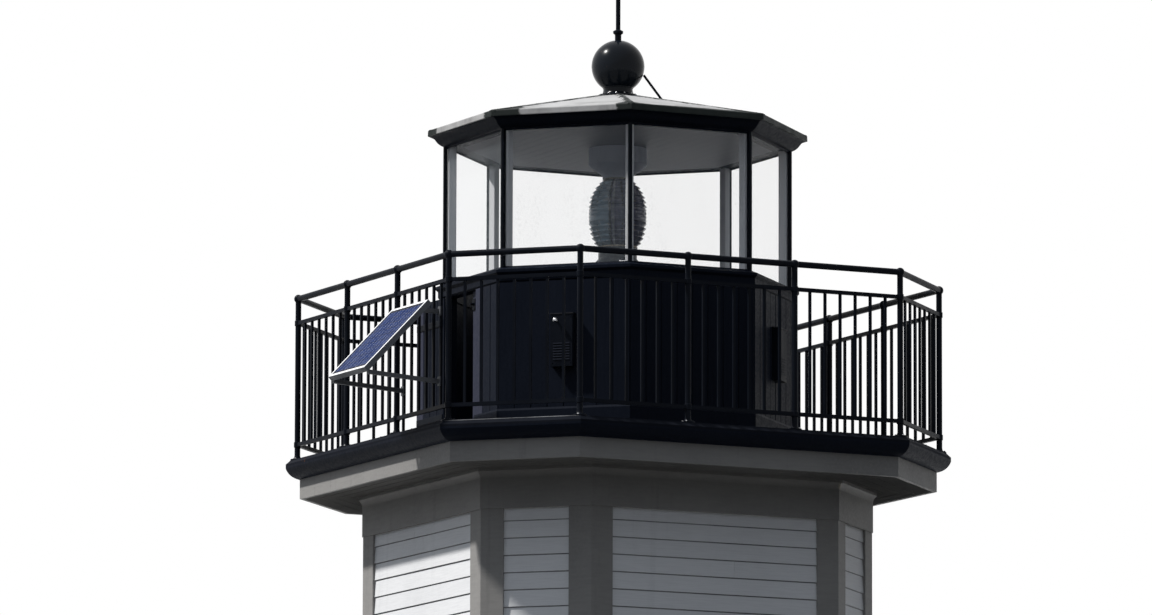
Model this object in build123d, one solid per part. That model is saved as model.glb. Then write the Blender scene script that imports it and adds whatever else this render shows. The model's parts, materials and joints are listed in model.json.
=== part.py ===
from build123d import *
import math
import os

# Eight-sided wooden harbour lighthouse: millimetres, Z up, origin on the ground on the tower's axis.
# The front faces -Y. "main" is the distance from the axis to the four main sides and "cut" the length
# of each of the four shorter sides that cut the corners.

# Levels
foundation_height = 300.0
floor_thickness = 40.0
storey_height = 2205.0
storeys = 3
deck_level = 7920.0

# Tower
tower_main = 1380.0
tower_cut = 719.0
wall_thickness = 150.0
foundation_spread = 70.0
corner_board_width = 140.0
corner_board_thickness = 26.0
water_table_height = 150.0
water_table_thickness = 45.0
water_table_slope = 22.0
frieze_drop = 509.0
frieze_thickness = 32.0
bed_mould_height = 62.0
bed_mould_projection = 24.0

# Entrance
door_width = 860.0
door_height = 2000.0
door_thickness = 45.0
door_setback = 60.0
door_frame_width = 40.0
door_casing_width = 105.0
casing_thickness = 30.0
door_panel_depth = 10.0
door_stile = 115.0
step_height = 170.0
step_depth = 290.0
step_width = 1200.0

# Windows of the second and third storeys, one on each main side
window_width = 680.0
window_height = 1040.0
window_sill_height = 755.0
window_casing_width = 95.0
window_lining = 25.0
window_lining_depth = 110.0
window_sill_thickness = 45.0
window_sill_projection = 60.0
sash_width = 45.0
sash_thickness = 40.0
glass_thickness = 6.0

# Gallery
gallery_overhang = 366.0
gallery_cut = 864.0
gallery_depth = 251.0
deck_thickness = 38.0
deck_bevel = 26.0
cornice_projection = 86.0
cornice_foot_projection = 6.0
cornice_height = 85.0
cornice_lip = 14.0
fascia_thickness = 28.0
soffit_thickness = 22.0

# Gallery rail
rail_outset = 16.0
rail_height = 1067.0
rail_radius = 20.0
post_radius = 19.0
post_ball_radius = 29.0
post_foot_radius = 46.0
post_foot_height = 12.0
main_bay_count = 3
upper_bar_drop = 161.0
lower_bar_height = 105.0
bar_size = 24.0
baluster_size = 16.0
main_baluster_count = 6
corner_baluster_count = 7

# Lantern
lantern_apothem = 1034.0
parapet_outset = 36.0
parapet_thickness = 60.0
sill_top = 1118.0
sill_height = 100.0
sill_projection = 28.0
sill_inner_lip = 10.0
sill_fillet = 12.0
sill_nosing = 16.0
glass_height = 908.0
outer_bar_width = 28.0
outer_bar_depth = 20.0
inner_post_width = 60.0
inner_post_depth = 72.0
pane_corner_gap = 4.0
head_height = 40.0
head_width = 100.0
ceiling_thickness = 20.0

# Gallery door in the left side of the parapet, standing open flat against the wall
gallery_door_width = 420.0
gallery_door_height = 950.0
gallery_door_offset = -100.0
gallery_door_thickness = 32.0
threshold_height = 60.0
door_stop_width = 105.0
door_stop_thickness = 34.0
hinge_radius = 9.0
hinge_length = 90.0
hinge_plate = 3.0
hinge_plate_depth = 40.0

# Ventilators on the four corner sides of the parapet
vent_width = 148.0
vent_height = 350.0
vent_depth = 62.0
vent_top_drop = 264.0
vent_slope = 8.0
knob_radius = 25.0
knob_stem = 12.0
knob_shift = -44.0
knob_drop = 52.0

# Lantern roof
roof_cornice_projection = 111.0
roof_cornice_height = 104.0
roof_lip = 30.0
roof_rise = 267.0
roof_thickness = 24.0
roof_seat = 136.0

# Ball ventilator, rod and stay
ball_radius = 173.0
ball_centre_above_sill = 1455.0
flange_radius = 130.0
flange_height = 18.0
neck_radius = 96.0
flare_radius = 60.0
rod_radius = 15.0
rod_top_above_ball = 671.0
rod_tip_length = 90.0
collar_radius = 33.0
collar_height = 34.0
collar_above_ball = 38.0
socket_radius = 21.0
stay_radius = 8.0
stay_angle = -26.5
stay_top_radial = 168.0
stay_top_drop = 56.0
stay_foot_radial = 305.0
stay_foot_radius = 22.0
stay_foot_height = 10.0

# Lens and its stand
lens_radius = 190.0
lens_height = 442.0
lens_bottom_above_sill = 262.0
lens_wall = 34.0
lens_end_radius = 112.0
lens_bull_height = 96.0
lens_bull_edge = 8.0
prisms_above = 6
prisms_below = 4
prism_depth = 15.0
lens_ring_radius = 130.0
lens_ring_height = 10.0
neck_pipe_radius = 126.0
neck_pipe_height = 120.0
neck_flare_radius = 172.0
neck_flare_height = 50.0
base_plate_radius = 195.0
base_plate_thickness = 16.0
pedestal_radius = 80.0
pedestal_foot_radius = 150.0
pedestal_foot_height = 25.0
pedestal_flare_height = 60.0
lens_bar_size = 8.0
lens_bar_count = 4
sensor_radius = 31.0
sensor_wall = 8.0
sensor_radial = 160.0
sensor_angle = -103.5
funnel_radius = 105.0
funnel_mouth_above_lens = 6.0
funnel_wide_radius = 190.0
funnel_flare_height = 96.0
funnel_wall = 4.0
funnel_lip = 6.0
funnel_lip_height = 22.0

# Solar panel outside the left side of the rail
solar_width = 540.0
solar_length = 640.0
solar_tilt = 46.0
solar_thickness = 35.0
solar_frame_width = 22.0
solar_back_depth = 6.0
solar_cell_thickness = 5.0
solar_top_outset = 90.0
solar_top_drop = 280.0
bracket_size = 26.0
bracket_end_gap = 30.0
bracket_inset = 13.0
bracket_arm_drop = 38.0
bracket_arm_rise = 33.0
bracket_stub_drop = 83.0
bracket_pad_width = 36.0
bracket_pad_height = 60.0
bracket_pad_thickness = 8.0

# Derived sizes
MAIN_SIDES = [0, 2, 4, 6]
CORNER_SIDES = [1, 3, 5, 7]
SIDES = {0: "front", 2: "right", 4: "back", 6: "left"}
LEFT = 6
FRONT_LEFT = 7
tower_corner = math.sqrt(2.0) * tower_main - tower_cut / 2.0
gallery_main = tower_main + gallery_overhang
gallery_corner = math.sqrt(2.0) * gallery_main - gallery_cut / 2.0
TOWER = (tower_main, tower_corner)
GALLERY = (gallery_main, gallery_corner)
RAIL = (gallery_main + rail_outset, gallery_corner + rail_outset)
LANTERN = (lantern_apothem, lantern_apothem)
BIG = 400.0

ground_floor = foundation_height + floor_thickness
floor_levels = [ground_floor + k * storey_height for k in range(storeys)]
wall_top = deck_level - deck_thickness
soffit_level = deck_level - gallery_depth
fascia_top = wall_top - cornice_height
frieze_bottom = deck_level - frieze_drop
board_bottom = foundation_height + water_table_height
rail_level = deck_level + rail_height
sill_level = deck_level + sill_top
head_level = sill_level + glass_height
eave_level = head_level + roof_cornice_height
apex_level = eave_level + roof_rise
eave_apothem = lantern_apothem + roof_cornice_projection
roof_slope = roof_rise / eave_apothem
seat_level = apex_level - roof_slope * roof_seat
ball_level = sill_level + ball_centre_above_sill
parapet_top = sill_level - sill_height
wall_face = parapet_outset


def normal_angle(side):
    """Direction of a side's outward normal in degrees."""
    return -90.0 + 45.0 * side


def normal(side):
    """Outward normal of a side as x, y."""
    a = math.radians(normal_angle(side))
    return (math.cos(a), math.sin(a))


def tangent(side):
    """Direction along a side, to the right as seen from outside."""
    x, y = normal(side)
    return (-y, x)


def distance(plan, side, offset=0.0):
    """Distance of a side from the axis."""
    return plan[side % 2] + offset


def corner_point(plan, side, offset=0.0):
    """Corner between a side and the next one, with every side moved out by the offset."""
    nxt = (side + 1) % 8
    ax, ay = normal(side)
    bx, by = normal(nxt)
    da = distance(plan, side, offset)
    db = distance(plan, nxt, offset)
    det = ax * by - ay * bx
    return ((da * by - db * ay) / det, (ax * db - bx * da) / det)


def corners(plan, offset=0.0):
    """All eight corners of a plan."""
    return [corner_point(plan, side, offset) for side in range(8)]


def side_plane(side, dist, along=0.0, level=0.0):
    """Plane on a side: x along it, y up, z outward."""
    nx, ny = normal(side)
    tx, ty = tangent(side)
    origin = (nx * dist + tx * along, ny * dist + ty * along, level)
    return Plane(origin=origin, x_dir=(tx, ty, 0), z_dir=(nx, ny, 0))


def side_block(side, dist, along, level, width, height, depth):
    """Box on a side, from the given distance outward, centred at along, from the level up."""
    box = Box(width, height, depth, align=(Align.CENTER, Align.MIN, Align.MIN))
    return side_plane(side, dist, along, level) * box


def face_of(points):
    """Flat face through plan points."""
    return make_face(Polyline(points, close=True))


def prism(points, bottom, top):
    """Upright prism over plan points."""
    return Pos(0, 0, bottom) * extrude(face_of(points), amount=top - bottom)


def panel(plan, side, inner, outer, bottom, top):
    """Mitred wall panel of one side between two offsets."""
    prev = (side - 1) % 8
    points = [
        corner_point(plan, prev, inner),
        corner_point(plan, side, inner),
        corner_point(plan, side, outer),
        corner_point(plan, prev, outer),
    ]
    return prism(points, bottom, top)


def ring(plan, inner, outer, bottom, top):
    """Eight-sided ring between two offsets."""
    return prism(corners(plan, outer), bottom, top) - prism(corners(plan, inner), bottom, top)


def moulding(plan, profile, level):
    """Moulding with one mitred length on each side; the profile is a face of offset and height."""
    lengths = []
    for side in range(8):
        nx, ny = normal(side)
        tx, ty = tangent(side)
        dist = distance(plan, side)
        across = Plane(origin=(nx * dist, ny * dist, level), x_dir=(nx, ny, 0), z_dir=(-tx, -ty, 0))
        bar = extrude(across * profile, amount=2.0 * gallery_main, both=True)
        wedge = panel(plan, side, -BIG, BIG, level - BIG, level + BIG)
        lengths.append(bar & wedge)
    whole = lengths[0]
    for bar in lengths[1:]:
        whole = whole + bar
    return whole


def profile_face(points):
    """Moulding profile from straight edges, as offset and height."""
    return face_of(points)


def revolved(points):
    """Solid of revolution about the axis from radius and height points."""
    return revolve(Plane.XZ * face_of(points), Axis.Z)


def solids_of(shape):
    """List of the solids in a shape or a list of shapes."""
    if isinstance(shape, list):
        return [s for one in shape for s in one.solids()]
    return list(shape.solids())


def write(name, shape):
    """Write one named piece."""
    found = solids_of(shape)
    piece = found[0] if len(found) == 1 else Compound(children=found)
    piece.label = name
    export_step(piece, "parts/" + name + ".step")


def foundation():
    """Masonry base that stands on the ground."""
    return prism(corners(TOWER, foundation_spread), 0.0, foundation_height)


def floors():
    """Boarded floors of the three storeys, fitted between the walls."""
    slabs = []
    for level in floor_levels:
        slabs.append(prism(corners(TOWER, -wall_thickness), level - floor_thickness, level))
    return slabs


def window_levels():
    """Sill levels of the window openings."""
    return [level + window_sill_height for level in floor_levels[1:]]


def window_hole(side, level):
    """Opening of one window through the wall."""
    start = tower_main - wall_thickness - BIG
    return side_block(side, start, 0.0, level, window_width, window_height, wall_thickness + 2.0 * BIG)


def door_hole():
    """Opening of the entrance through the front wall."""
    start = tower_main - wall_thickness - BIG
    return side_block(0, start, 0.0, ground_floor, door_width, door_height, wall_thickness + 2.0 * BIG)


def tower_wall(side):
    """One wall of the tower with its openings cut through."""
    wall = panel(TOWER, side, -wall_thickness, 0.0, foundation_height, wall_top)
    if side in MAIN_SIDES:
        for level in window_levels():
            wall = wall - window_hole(side, level)
    if side == 0:
        wall = wall - door_hole()
    return wall


def corner_boards():
    """Boards that wrap the eight corners of the tower."""
    boards = []
    for side in range(8):
        nxt = (side + 1) % 8
        cx, cy = corner_point(TOWER, side)
        ox, oy = corner_point(TOWER, side, corner_board_thickness)
        ax, ay = tangent(side)
        bx, by = tangent(nxt)
        nax, nay = normal(side)
        nbx, nby = normal(nxt)
        w = corner_board_width
        t = corner_board_thickness
        points = [
            (cx, cy),
            (cx - ax * w, cy - ay * w),
            (cx - ax * w + nax * t, cy - ay * w + nay * t),
            (ox, oy),
            (cx + bx * w + nbx * t, cy + by * w + nby * t),
            (cx + bx * w, cy + by * w),
        ]
        boards.append(prism(points, board_bottom, frieze_bottom))
    return boards


def water_table():
    """Sloped board round the foot of the walls, open at the entrance."""
    t = water_table_thickness
    h = water_table_height
    profile = profile_face([(0, 0), (t, 0), (t, h - water_table_slope), (corner_board_thickness, h), (0, h)])
    band = moulding(TOWER, profile, foundation_height)
    gap = door_width + 2.0 * door_casing_width
    return band - side_block(0, tower_main - BIG, 0.0, 0.0, gap, 2.0 * board_bottom, 2.0 * BIG)


def frieze_board():
    """Frieze under the gallery with its bed moulding."""
    t = frieze_thickness
    p = t + bed_mould_projection
    low = frieze_bottom
    h = soffit_level - low
    m = bed_mould_height
    with_cove = Polyline([(0, h), (0, 0), (t, 0), (t, h - m)])
    cove = RadiusArc((t, h - m), (p, h - 0.3 * m), m)
    top = Polyline([(p, h - 0.3 * m), (p, h), (0, h)])
    return moulding(TOWER, make_face(with_cove + cove + top), low)


def entrance_frame():
    """Frame and casing of the entrance."""
    depth = wall_thickness + casing_thickness
    start = tower_main - wall_thickness
    f = door_frame_width
    lining = side_block(0, start, 0.0, ground_floor, door_width, door_height, depth)
    c = door_casing_width
    casing = side_block(0, tower_main, 0.0, ground_floor, door_width + 2 * c, door_height + c, casing_thickness)
    way = side_block(0, start - BIG, 0.0, ground_floor, door_width - 2 * f, door_height - f, depth + 2 * BIG)
    return lining + casing - way


def entrance_door():
    """Panelled door, closed in its frame."""
    w = door_width - 2 * door_frame_width
    h = door_height - door_frame_width
    start = tower_main - door_setback - door_thickness
    leaf = side_block(0, start, 0.0, ground_floor, w, h, door_thickness)
    panel_width = (w - 3 * door_stile) / 2
    heights = [0.34 * h, 0.46 * h]
    base = ground_floor + 1.6 * door_stile
    for high in heights:
        for way in (-1, 1):
            along = way * (panel_width + door_stile) / 2
            face = start + door_thickness - door_panel_depth
            leaf = leaf - side_block(0, face, along, base, panel_width, high - door_stile, BIG)
        base = base + high
    return leaf


def door_step():
    """Stone step before the entrance."""
    start = tower_main + foundation_spread
    return side_block(0, start, 0.0, 0.0, step_width, step_height, step_depth)


def window_frame(side, level):
    """Casing, lining, sill and sashes of one window, in one piece."""
    c = window_casing_width
    start = tower_main - window_lining_depth
    depth = window_lining_depth + casing_thickness
    lining = side_block(side, start, 0.0, level, window_width, window_height, depth)
    casing = side_block(
        side, tower_main, 0.0, level, window_width + 2 * c, window_height + c, casing_thickness)
    sill = side_block(
        side, tower_main, 0.0, level - window_sill_thickness, window_width + 2 * c,
        window_sill_thickness, window_sill_projection)
    frame = lining + casing + sill
    inner_w = window_width - 2 * window_lining
    inner_h = window_height - 2 * window_lining
    half = inner_h / 2
    pane_w = inner_w - 2 * sash_width
    pane_h = half - 1.5 * sash_width
    far = start - BIG
    deep = depth + 2 * BIG
    low = level + window_lining
    front = start + sash_thickness
    frame = frame - side_block(side, front, 0.0, low, inner_w, inner_h, BIG)
    for base in (low + sash_width, low + half + 0.5 * sash_width):
        frame = frame - side_block(side, far, 0.0, base, pane_w, pane_h, deep)
    return frame


def window_panes(side, level):
    """Two sheets of glass of one window, seated in the sashes."""
    inner_w = window_width - 2 * window_lining
    inner_h = window_height - 2 * window_lining
    half = inner_h / 2
    pane_w = inner_w - 2 * sash_width
    pane_h = half - 1.5 * sash_width
    low = level + window_lining
    start = tower_main - window_lining_depth + (sash_thickness - glass_thickness) / 2
    sheets = []
    for base in (low + sash_width, low + half + 0.5 * sash_width):
        sheets.append(side_block(side, start, 0.0, base, pane_w, pane_h, glass_thickness))
    return sheets


def all_windows(make):
    """The same piece for every window."""
    found = []
    for side in MAIN_SIDES:
        for level in window_levels():
            piece = make(side, level)
            found.extend(piece if isinstance(piece, list) else [piece])
    return found


def gallery_soffit():
    """Flat boards under the gallery, from the walls to the fascia."""
    outer = prism(corners(GALLERY, -fascia_thickness), soffit_level, soffit_level + soffit_thickness)
    inner = prism(corners(TOWER), soffit_level - BIG, soffit_level + BIG)
    return outer - inner


def gallery_fascia():
    """Upright board round the edge of the gallery."""
    return ring(GALLERY, -fascia_thickness, 0.0, soffit_level, fascia_top)


def gallery_cornice():
    """Coved moulding between the fascia and the deck."""
    h = cornice_height
    p = cornice_projection
    lip = cornice_lip
    foot = cornice_foot_projection
    start = Polyline([(p, h - lip), (p, h), (-fascia_thickness, h), (-fascia_thickness, 0), (foot, 0)])
    cove = RadiusArc((foot, 0), (p, h - lip), -1.25 * h)
    return moulding(GALLERY, make_face(start + cove), fascia_top)


def gallery_deck():
    """Deck of the gallery and floor of the lantern, with a bevelled edge."""
    p = cornice_projection
    slab = prism(corners(GALLERY, p), wall_top, deck_level)
    b = deck_bevel
    t = deck_thickness
    bevel = profile_face([(p - b, t), (p, 0.35 * t), (p + BIG / 4, 0.35 * t), (p + BIG / 4, 2 * t), (p - b, 2 * t)])
    return slab - moulding(GALLERY, bevel, wall_top)


def rail_points(side):
    """Post places along one side of the rail, both ends included."""
    x0, y0 = corner_point(RAIL, (side - 1) % 8)
    x1, y1 = corner_point(RAIL, side)
    bays = main_bay_count if side in MAIN_SIDES else 1
    return [(x0 + (x1 - x0) * k / bays, y0 + (y1 - y0) * k / bays) for k in range(bays + 1)]


def post_points():
    """Every post place once."""
    found = []
    for side in range(8):
        found.extend(rail_points(side)[:-1])
    return found


def rail_post():
    """Round post with its foot and the ball that holds the rail, at the axis."""
    h = rail_height
    r = post_radius
    b = post_ball_radius
    rise = math.sqrt(b * b - r * r)
    stem = Polyline([
        (0, h + b), (0, 0), (post_foot_radius, 0), (post_foot_radius, post_foot_height),
        (r, post_foot_height), (r, h - rise)])
    ball = ThreePointArc((r, h - rise), (b, h), (0, h + b))
    return revolve(Plane.XZ * make_face(stem + ball), Axis.Z)


def rail_posts():
    """All posts of the gallery rail."""
    post = rail_post()
    return [Pos(x, y, deck_level) * post for x, y in post_points()]


def bar_between(start, end, size, level):
    """Square bar from one plan point to another, centred on the level."""
    length = math.dist(start, end)
    angle = math.degrees(math.atan2(end[1] - start[1], end[0] - start[0]))
    bar = Box(length, size, size, align=(Align.MIN, Align.CENTER, Align.CENTER))
    return Pos(start[0], start[1], level) * Rot(0, 0, angle) * bar


def rail_length(length):
    """Round rail along X between two balls, with ends hollowed to seat on them."""
    b = post_ball_radius
    r = rail_radius
    reach = math.sqrt(b * b - r * r)
    bevel = b * math.cos(math.asin(r / b) / 2)
    rise = b * math.sin(math.asin(r / b) / 2)
    near = ThreePointArc((b, 0), (bevel, rise), (reach, r))
    side = Line((reach, r), (length - reach, r))
    far = ThreePointArc((length - reach, r), (length - bevel, rise), (length - b, 0))
    middle = Line((length - b, 0), (b, 0))
    return revolve(Plane.XZ * make_face(near + side + far + middle), Axis.X)


def top_rail():
    """Round rail in straight lengths between the balls of the posts."""
    lengths = []
    for side in range(8):
        points = rail_points(side)
        for start, end in zip(points, points[1:]):
            angle = math.degrees(math.atan2(end[1] - start[1], end[0] - start[0]))
            place = Pos(start[0], start[1], rail_level) * Rot(0, 0, angle)
            lengths.append(place * rail_length(math.dist(start, end)))
    return lengths


def balustrade_bay(start, end, count):
    """Upper bar, lower bar and balusters of one bay, in one piece."""
    upper = rail_level - upper_bar_drop
    lower = deck_level + lower_bar_height
    bay = bar_between(start, end, bar_size, upper) + bar_between(start, end, bar_size, lower)
    angle = math.degrees(math.atan2(end[1] - start[1], end[0] - start[0]))
    for k in range(count):
        share = (k + 1) / (count + 1)
        x = start[0] + (end[0] - start[0]) * share
        y = start[1] + (end[1] - start[1]) * share
        rod = Box(baluster_size, baluster_size, upper - lower, align=(Align.CENTER, Align.CENTER, Align.MIN))
        bay = bay + Pos(x, y, lower) * Rot(0, 0, angle) * rod
    for x, y in (start, end):
        post = Cylinder(post_radius, rail_height, align=(Align.CENTER, Align.CENTER, Align.MIN))
        bay = bay - Pos(x, y, deck_level) * post
    return bay


def balustrade(side):
    """All bays of one side of the balustrade."""
    points = rail_points(side)
    count = main_baluster_count if side in MAIN_SIDES else corner_baluster_count
    return [balustrade_bay(start, end, count) for start, end in zip(points, points[1:])]


def parapet_wall(side):
    """One boarded wall below the lantern glass."""
    inner = wall_face - parapet_thickness
    return panel(LANTERN, side, inner, wall_face, deck_level, parapet_top)


def parapet_left_wall():
    """Wall below the glass, in two parts beside the way out to the gallery."""
    wall = parapet_wall(LEFT)
    face = distance(LANTERN, LEFT, wall_face)
    way = side_block(
        LEFT, face - parapet_thickness - BIG, gallery_door_offset, deck_level, gallery_door_width,
        parapet_top - deck_level, parapet_thickness + 2 * BIG)
    return wall - way


def gallery_threshold():
    """Board under the way out to the gallery."""
    start = distance(LANTERN, LEFT, wall_face) - parapet_thickness
    return side_block(
        LEFT, start, gallery_door_offset, deck_level, gallery_door_width, threshold_height, parapet_thickness)


def gallery_door():
    """Boarded door leaf standing open, flat against the wall beside its opening."""
    face = distance(LANTERN, LEFT, wall_face)
    along = gallery_door_offset - gallery_door_width
    level = parapet_top - gallery_door_height
    return side_block(
        LEFT, face, along, level + 2 * hinge_plate, gallery_door_width - 2 * hinge_plate,
        gallery_door_height - 4 * hinge_plate, gallery_door_thickness)


def gallery_door_stop():
    """Stop board inside the opening, on the side away from the hinges."""
    face = distance(LANTERN, LEFT, wall_face)
    along = gallery_door_offset + gallery_door_width / 2 - door_stop_width / 2
    level = deck_level + threshold_height
    start = face - parapet_thickness
    return side_block(
        LEFT, start, along, level, door_stop_width, parapet_top - level, door_stop_thickness)


def gallery_door_hinges():
    """Two hinge barrels between the wall and the open leaf."""
    face = distance(LANTERN, LEFT, wall_face)
    jamb = gallery_door_offset - gallery_door_width / 2
    level = parapet_top - gallery_door_height
    nx, ny = normal(LEFT)
    tx, ty = tangent(LEFT)
    dist = face + hinge_radius
    shift = jamb - hinge_plate + hinge_radius
    hinges = []
    for share in (0.17, 0.83):
        z = level + gallery_door_height * share - hinge_length / 2
        barrel = Cylinder(hinge_radius, hinge_length, align=(Align.CENTER, Align.CENTER, Align.MIN))
        barrel = Pos(nx * dist + tx * shift, ny * dist + ty * shift, z) * barrel
        plate = side_block(
            LEFT, face - hinge_plate_depth, jamb + hinge_plate / 2, z, hinge_plate, hinge_length,
            hinge_plate_depth + hinge_radius)
        hinges.append(barrel + plate)
    return hinges


def parapet_vent(side):
    """Ventilator box with a sloped top on a corner side."""
    face = distance(LANTERN, side, wall_face)
    top = rail_level - vent_top_drop
    box = side_block(side, face, 0.0, top - vent_height, vent_width, vent_height, vent_depth)
    points = [(0, 0), (vent_depth, -vent_slope), (vent_depth + BIG, -vent_slope), (vent_depth + BIG, BIG), (0, BIG)]
    nx, ny = normal(side)
    tx, ty = tangent(side)
    across = Plane(origin=(nx * face, ny * face, top), x_dir=(nx, ny, 0), z_dir=(-tx, -ty, 0))
    return box - extrude(across * face_of(points), amount=vent_width, both=True)


def vent_knob():
    """Round knob on the front of the front left ventilator."""
    side = FRONT_LEFT
    face = distance(LANTERN, side, wall_face + vent_depth)
    level = rail_level - vent_top_drop - knob_drop
    stem = Cylinder(knob_radius / 2.5, knob_stem, align=(Align.CENTER, Align.CENTER, Align.MIN))
    ball = Pos(0, 0, knob_stem + 0.6 * knob_radius) * Sphere(knob_radius)
    return side_plane(side, face, knob_shift, level) * (stem + ball)


def lantern_sill():
    """Cap on the parapet that carries the glass."""
    inner = wall_face - parapet_thickness - sill_inner_lip
    p = wall_face + sill_projection
    f = sill_fillet
    h = sill_height
    points = [
        (inner, 0), (wall_face, 0), (wall_face + f, f), (wall_face + f, 0.5 * h), (p, 0.66 * h),
        (p, h - sill_nosing), (outer_bar_depth, h), (inner, h)]
    return moulding(LANTERN, profile_face(points), parapet_top)


def at_corner(side, near, far, half_width, bottom, top):
    """Post that straddles the corner after a side, between two offsets of the glass line."""
    nxt = (side + 1) % 8
    ax, ay = tangent(side)
    bx, by = tangent(nxt)
    cx, cy = corner_point(LANTERN, side, near)
    ox, oy = corner_point(LANTERN, side, far)
    points = [
        (cx, cy),
        (cx - ax * half_width, cy - ay * half_width),
        (ox - ax * half_width, oy - ay * half_width),
        (ox, oy),
        (ox + bx * half_width, oy + by * half_width),
        (cx + bx * half_width, cy + by * half_width),
    ]
    return prism(points, bottom, top)


def glazing_bars():
    """Outer bars that hold the panes at the eight corners."""
    return [at_corner(s, 0.0, outer_bar_depth, outer_bar_width / 2, sill_level, head_level) for s in range(8)]


def glazing_post(side):
    """Square inner post in the angle of two panes, its back cut to fit them."""
    tx, ty = corner_point(LANTERN, side, -glass_thickness)
    reach = math.hypot(tx, ty)
    ux, uy = tx / reach, ty / reach
    half = inner_post_width / 2
    shoulder = half * math.tan(math.radians(22.5))
    outline = [(0, 0), (-shoulder, half), (-inner_post_depth, half), (-inner_post_depth, -half), (-shoulder, -half)]
    points = [(tx + ux * u - uy * v, ty + uy * u + ux * v) for u, v in outline]
    return prism(points, sill_level, head_level)


def glazing_posts():
    """Inner wooden posts behind the corners of the glass."""
    return [glazing_post(side) for side in range(8)]


def lantern_glass():
    """Eight panes of the lantern."""
    panes = []
    for side in range(8):
        x0, y0 = corner_point(LANTERN, (side - 1) % 8)
        x1, y1 = corner_point(LANTERN, side)
        width = math.dist((x0, y0), (x1, y1)) - 2 * pane_corner_gap
        dist = lantern_apothem - glass_thickness
        panes.append(side_block(side, dist, 0.0, sill_level, width, glass_height, glass_thickness))
    return panes


def lantern_head():
    """Beam ring over the glass, behind the cornice."""
    return ring(LANTERN, -head_width, 0.0, head_level, head_level + head_height)


def lantern_ceiling():
    """Flat boarded ceiling of the lantern, fitted inside the head."""
    return prism(corners(LANTERN, -head_width), head_level, head_level + ceiling_thickness)


def roof_cornice():
    """Curved moulding under the eaves."""
    h = roof_cornice_height
    p = roof_cornice_projection
    lip = roof_lip
    back = Polyline([(p, h - lip), (p, h), (0, h), (0, 0), (outer_bar_depth, 0)])
    hollow = RadiusArc((outer_bar_depth, 0), (0.62 * p, 0.4 * h), -0.9 * h)
    swell = RadiusArc((0.62 * p, 0.4 * h), (p, h - lip), 0.75 * h)
    return moulding(LANTERN, make_face(back + hollow + swell), head_level)


def roof_cone(shrink, bottom_level):
    """Eight-sided pyramid of the roof, cut flat at the ventilator's seat."""
    low = Pos(0, 0, bottom_level) * face_of(corners((eave_apothem, eave_apothem), -shrink))
    high = Pos(0, 0, seat_level - shrink * roof_slope) * face_of(corners((roof_seat, roof_seat), 0.0))
    return loft([low, high], ruled=True)


def roof_covering():
    """Shell of the low roof."""
    t = roof_thickness
    outer = roof_cone(0.0, eave_level)
    low = Pos(0, 0, eave_level) * face_of(corners((eave_apothem, eave_apothem), -t / roof_slope))
    top = seat_level - t
    high = Pos(0, 0, top) * face_of(corners((roof_seat, roof_seat), 0.0))
    return outer - loft([low, high], ruled=True)


def ball_ventilator():
    """Ball on its flared neck."""
    base = seat_level - ball_level
    r = ball_radius
    n = neck_radius
    meet = -math.sqrt(r * r - n * n)
    foot = Polyline([(0, r), (0, base), (flange_radius, base), (flange_radius, base + flange_height)])
    flare = RadiusArc((flange_radius, base + flange_height), (n, meet), flare_radius)
    ball = ThreePointArc((n, meet), (r, 0), (0, r))
    return Pos(0, 0, ball_level) * revolve(Plane.XZ * make_face(foot + flare + ball), Axis.Z)


def lightning_rod():
    """Pointed rod on its collar above the ball."""
    top = ball_level + ball_radius
    low = ball_level + 0.9 * ball_radius
    c0 = top + collar_above_ball
    c1 = c0 + collar_height
    tip = top + rod_top_above_ball
    points = [
        (0, low), (socket_radius, low), (socket_radius, c0), (collar_radius, c0 + 0.3 * collar_height),
        (collar_radius, c1 - 0.3 * collar_height), (rod_radius, c1), (rod_radius, tip - rod_tip_length),
        (1.5, tip), (0, tip)]
    return revolved(points) - Pos(0, 0, ball_level) * Sphere(ball_radius)


def ball_stay():
    """Thin stay from the side of the ball down to the roof."""
    a = math.radians(stay_angle)
    top = Vector(stay_top_radial * math.cos(a), stay_top_radial * math.sin(a), ball_level - stay_top_drop)
    foot_z = apex_level - roof_slope * stay_foot_radial * math.cos(math.radians(45.0 + stay_angle))
    foot = Vector(stay_foot_radial * math.cos(a), stay_foot_radial * math.sin(a), foot_z)
    run = foot - top
    reach = 1.2
    plane = Plane(origin=top, z_dir=run)
    rod = plane * Cylinder(stay_radius, run.length * reach, align=(Align.CENTER, Align.CENTER, Align.MIN))
    pad_top = foot_z + stay_foot_height
    pad = Pos(foot.X, foot.Y, foot_z - BIG / 8) * Cylinder(
        stay_foot_radius, pad_top - foot_z + BIG / 8, align=(Align.CENTER, Align.CENTER, Align.MIN))
    rod = rod + pad
    below = roof_cone(0.0, eave_level)
    rod = rod - Pos(0, 0, ball_level) * Sphere(ball_radius) - below
    return max(rod.solids(), key=lambda s: s.volume)


def lens_radius_at(share):
    """Radius of the lens body at a share of its height: widest a little under the middle."""
    widest = 0.47
    span = widest if share < widest else 1.0 - widest
    t = (share - widest) / span
    return lens_end_radius + (lens_radius - lens_end_radius) * math.sqrt(max(0.0, 1.0 - t * t * 0.94))


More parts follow.
